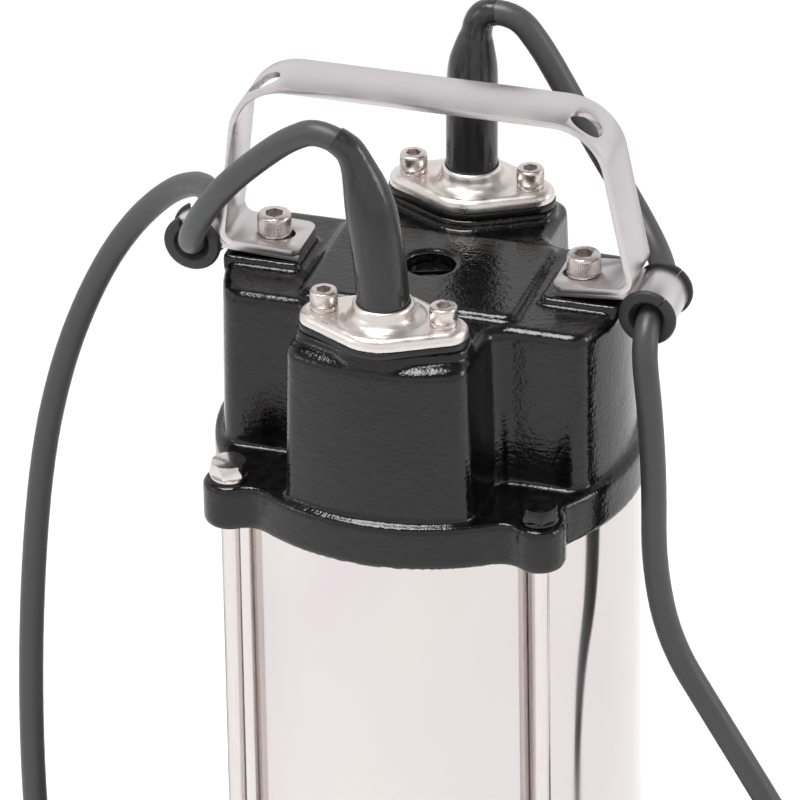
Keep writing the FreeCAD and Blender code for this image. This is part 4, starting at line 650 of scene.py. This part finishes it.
floatRoute = [
    (8.0, 57.0, 532.6), (17.6, 57.0, 533.8), (27.6, 57.0, 521.6),
    (38.0, 57.0, 503.0), (49.6, 56.0, 483.0), (62.6, 51.6, 466.0), (75.5, 40.5, 454.8), (85.6, 25.0, 449.8),
    (89.0, 8.0, 449.2), (89.2, -10.0, 448.8), (90.2, -21.4, 439.6), (92.8, -22.4, 418.0),
    (94.6, -22.2, 385.0), (94.2, -22.0, 349.0), (100.5, -22.0, 316.0), (117.0, -22.2, 288.5),
    (139.0, -22.0, 252.0), (164.0, -20.0, 207.0), (186.0, -15.0, 158.0), (201.0, -4.0, 108.0),
    (208.5, 15.0, 62.0), (208.0, 44.0, 27.0), (201.5, 76.0, 12.0), (197.0, 104.0, 18.0),
    (196.0, 125.0, 21.0),
]


# flat spirals in and out by turns, each up a layer in the half turn between them
def coilTurns(size):
    half = size["perTurn"] // 2
    reach = 1.0 / math.cos(math.pi / size["perTurn"])
    radius = size["radius"]
    height = cable["rest"]
    step = 0
    turns = []
    for layer in range(size["layers"]):
        if layer > 0:
            for count in range(half):
                turns.append((step, radius, height))
                height += size["pitch"] / half
                step += 1
        inward = -1.0 if layer % 2 == 0 else 1.0
        for count in range(2 * size["loops"] * half):
            turns.append((step, radius, height))
            radius += inward * size["pitch"] / (2.0 * half)
            step += 1
    turns.append((step, radius, height))
    points = []
    for step, radius, height in turns:
        turn = -math.pi / 2.0 + step * math.pi / half
        points.append((size["centre"][0] + radius * reach * math.cos(turn),
                       size["centre"][1] + radius * reach * math.sin(turn), height))
    return points


def makeCable(name, points):
    piece = curveOf(name, points, [1.0] * len(points), cable)
    piece.data.materials.append(cableRubber)
    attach(piece, "pump")
    return piece


mains = makeCable("mainsCable", mainsRoute + coilTurns(coil) + tailRoute)
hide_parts("mains_cord", "mains_coil", "plug_cord")
switch = makeCable("floatCable", floatRoute)
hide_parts("float_cord")
print("cables made")


# floor, light and camera
studio = {
    "floor": 8.0, "walls": 0.97, "ceiling": 0.20, "wallTop": 0.55, "ceilingFrom": 0.80,
    "aim": (0.0, 0.0, 0.4),
}
softboxes = {
    "overheadSoftbox": {"spot": (-0.35, -0.25, 2.2), "wide": 1.0, "high": 0.85, "power": 36.0},
    "leftSoftbox": {"spot": (-1.9, -1.2, 1.2), "wide": 0.3, "high": 1.0, "power": 3.0},
    "rightSoftbox": {"spot": (1.9, 0.3, 1.1), "wide": 0.5, "high": 1.1, "power": 9.0},
}


def makeFloor():
    bpy.ops.mesh.primitive_plane_add(size=studio["floor"], location=(0.0, 0.0, 0.0))
    floor = bpy.context.object
    floor.name = "floor"
    paper, tree, shader, spot = newMaterial("whiteBackdropPaper", {"Roughness": 0.9})
    colourBetween(tree, shader, grains(tree, spot, width=400.0), "#FAFAFA", "#FFFFFF")
    floor.data.materials.append(paper)


# pale walls all round, a darker ceiling above them
def makeWalls():
    world = bpy.data.worlds.new("studio")
    world.use_nodes = True
    bpy.context.scene.world = world
    tree = world.node_tree
    spot = addNode(tree, "ShaderNodeTexCoord").outputs["Generated"]
    height = addNode(tree, "ShaderNodeSeparateXYZ", {}, {"Vector": spot}).outputs["Z"]
    shade = remap(tree, height, studio["walls"], studio["ceiling"], studio["wallTop"], studio["ceilingFrom"])
    tree.nodes["Background"].inputs["Color"].default_value = (1.0, 1.0, 1.0, 1.0)
    tree.links.new(shade, tree.nodes["Background"].inputs["Strength"])


def makeSoftbox(name, box):
    light = bpy.data.lights.new(name, "AREA")
    light.shape = "RECTANGLE"
    light.size = box["wide"]
    light.size_y = box["high"]
    light.energy = box["power"]
    lamp = bpy.data.objects.new(name, light)
    collection.objects.link(lamp)
    lamp.location = box["spot"]
    ahead = Vector(studio["aim"]) - Vector(box["spot"])
    lamp.rotation_euler = ahead.to_track_quat("-Z", "Y").to_euler()


# the photograph's view: 17.7 degrees round, 29.3 up, from 3.4 metres with a long lens
view = {
    "round": 17.66, "up": 29.28, "roll": -0.97, "away": 3.399, "aside": 0.01087, "above": 0.05106,
    "target": (0.0, 0.0, 0.4525), "lens": 405.3, "film": 36.0, "near": 0.1, "far": 50.0,
}


def makeCamera():
    around, lift, roll = (math.radians(view[key]) for key in ("round", "up", "roll"))
    ahead = Vector((-math.sin(around) * math.cos(lift), math.cos(around) * math.cos(lift), -math.sin(lift)))
    level = Vector((math.cos(around), math.sin(around), 0.0))
    upright = level.cross(ahead)
    right = math.cos(roll) * level + math.sin(roll) * upright
    up = -math.sin(roll) * level + math.cos(roll) * upright
    data = bpy.data.cameras.new("camera")
    data.lens = view["lens"]
    data.sensor_width = view["film"]
    data.clip_start = view["near"]
    data.clip_end = view["far"]
    camera = bpy.data.objects.new("camera", data)
    collection.objects.link(camera)
    shift = view["away"] * ahead + view["aside"] * right + view["above"] * up
    camera.location = Vector(view["target"]) - shift
    camera.rotation_euler = Matrix((right, up, -ahead)).transposed().to_euler()
    bpy.context.scene.camera = camera


makeFloor()
makeWalls()
for name, box in softboxes.items():
    makeSoftbox(name, box)
makeCamera()
bpy.context.scene.view_settings.view_transform = "Standard"

print("scene ready")
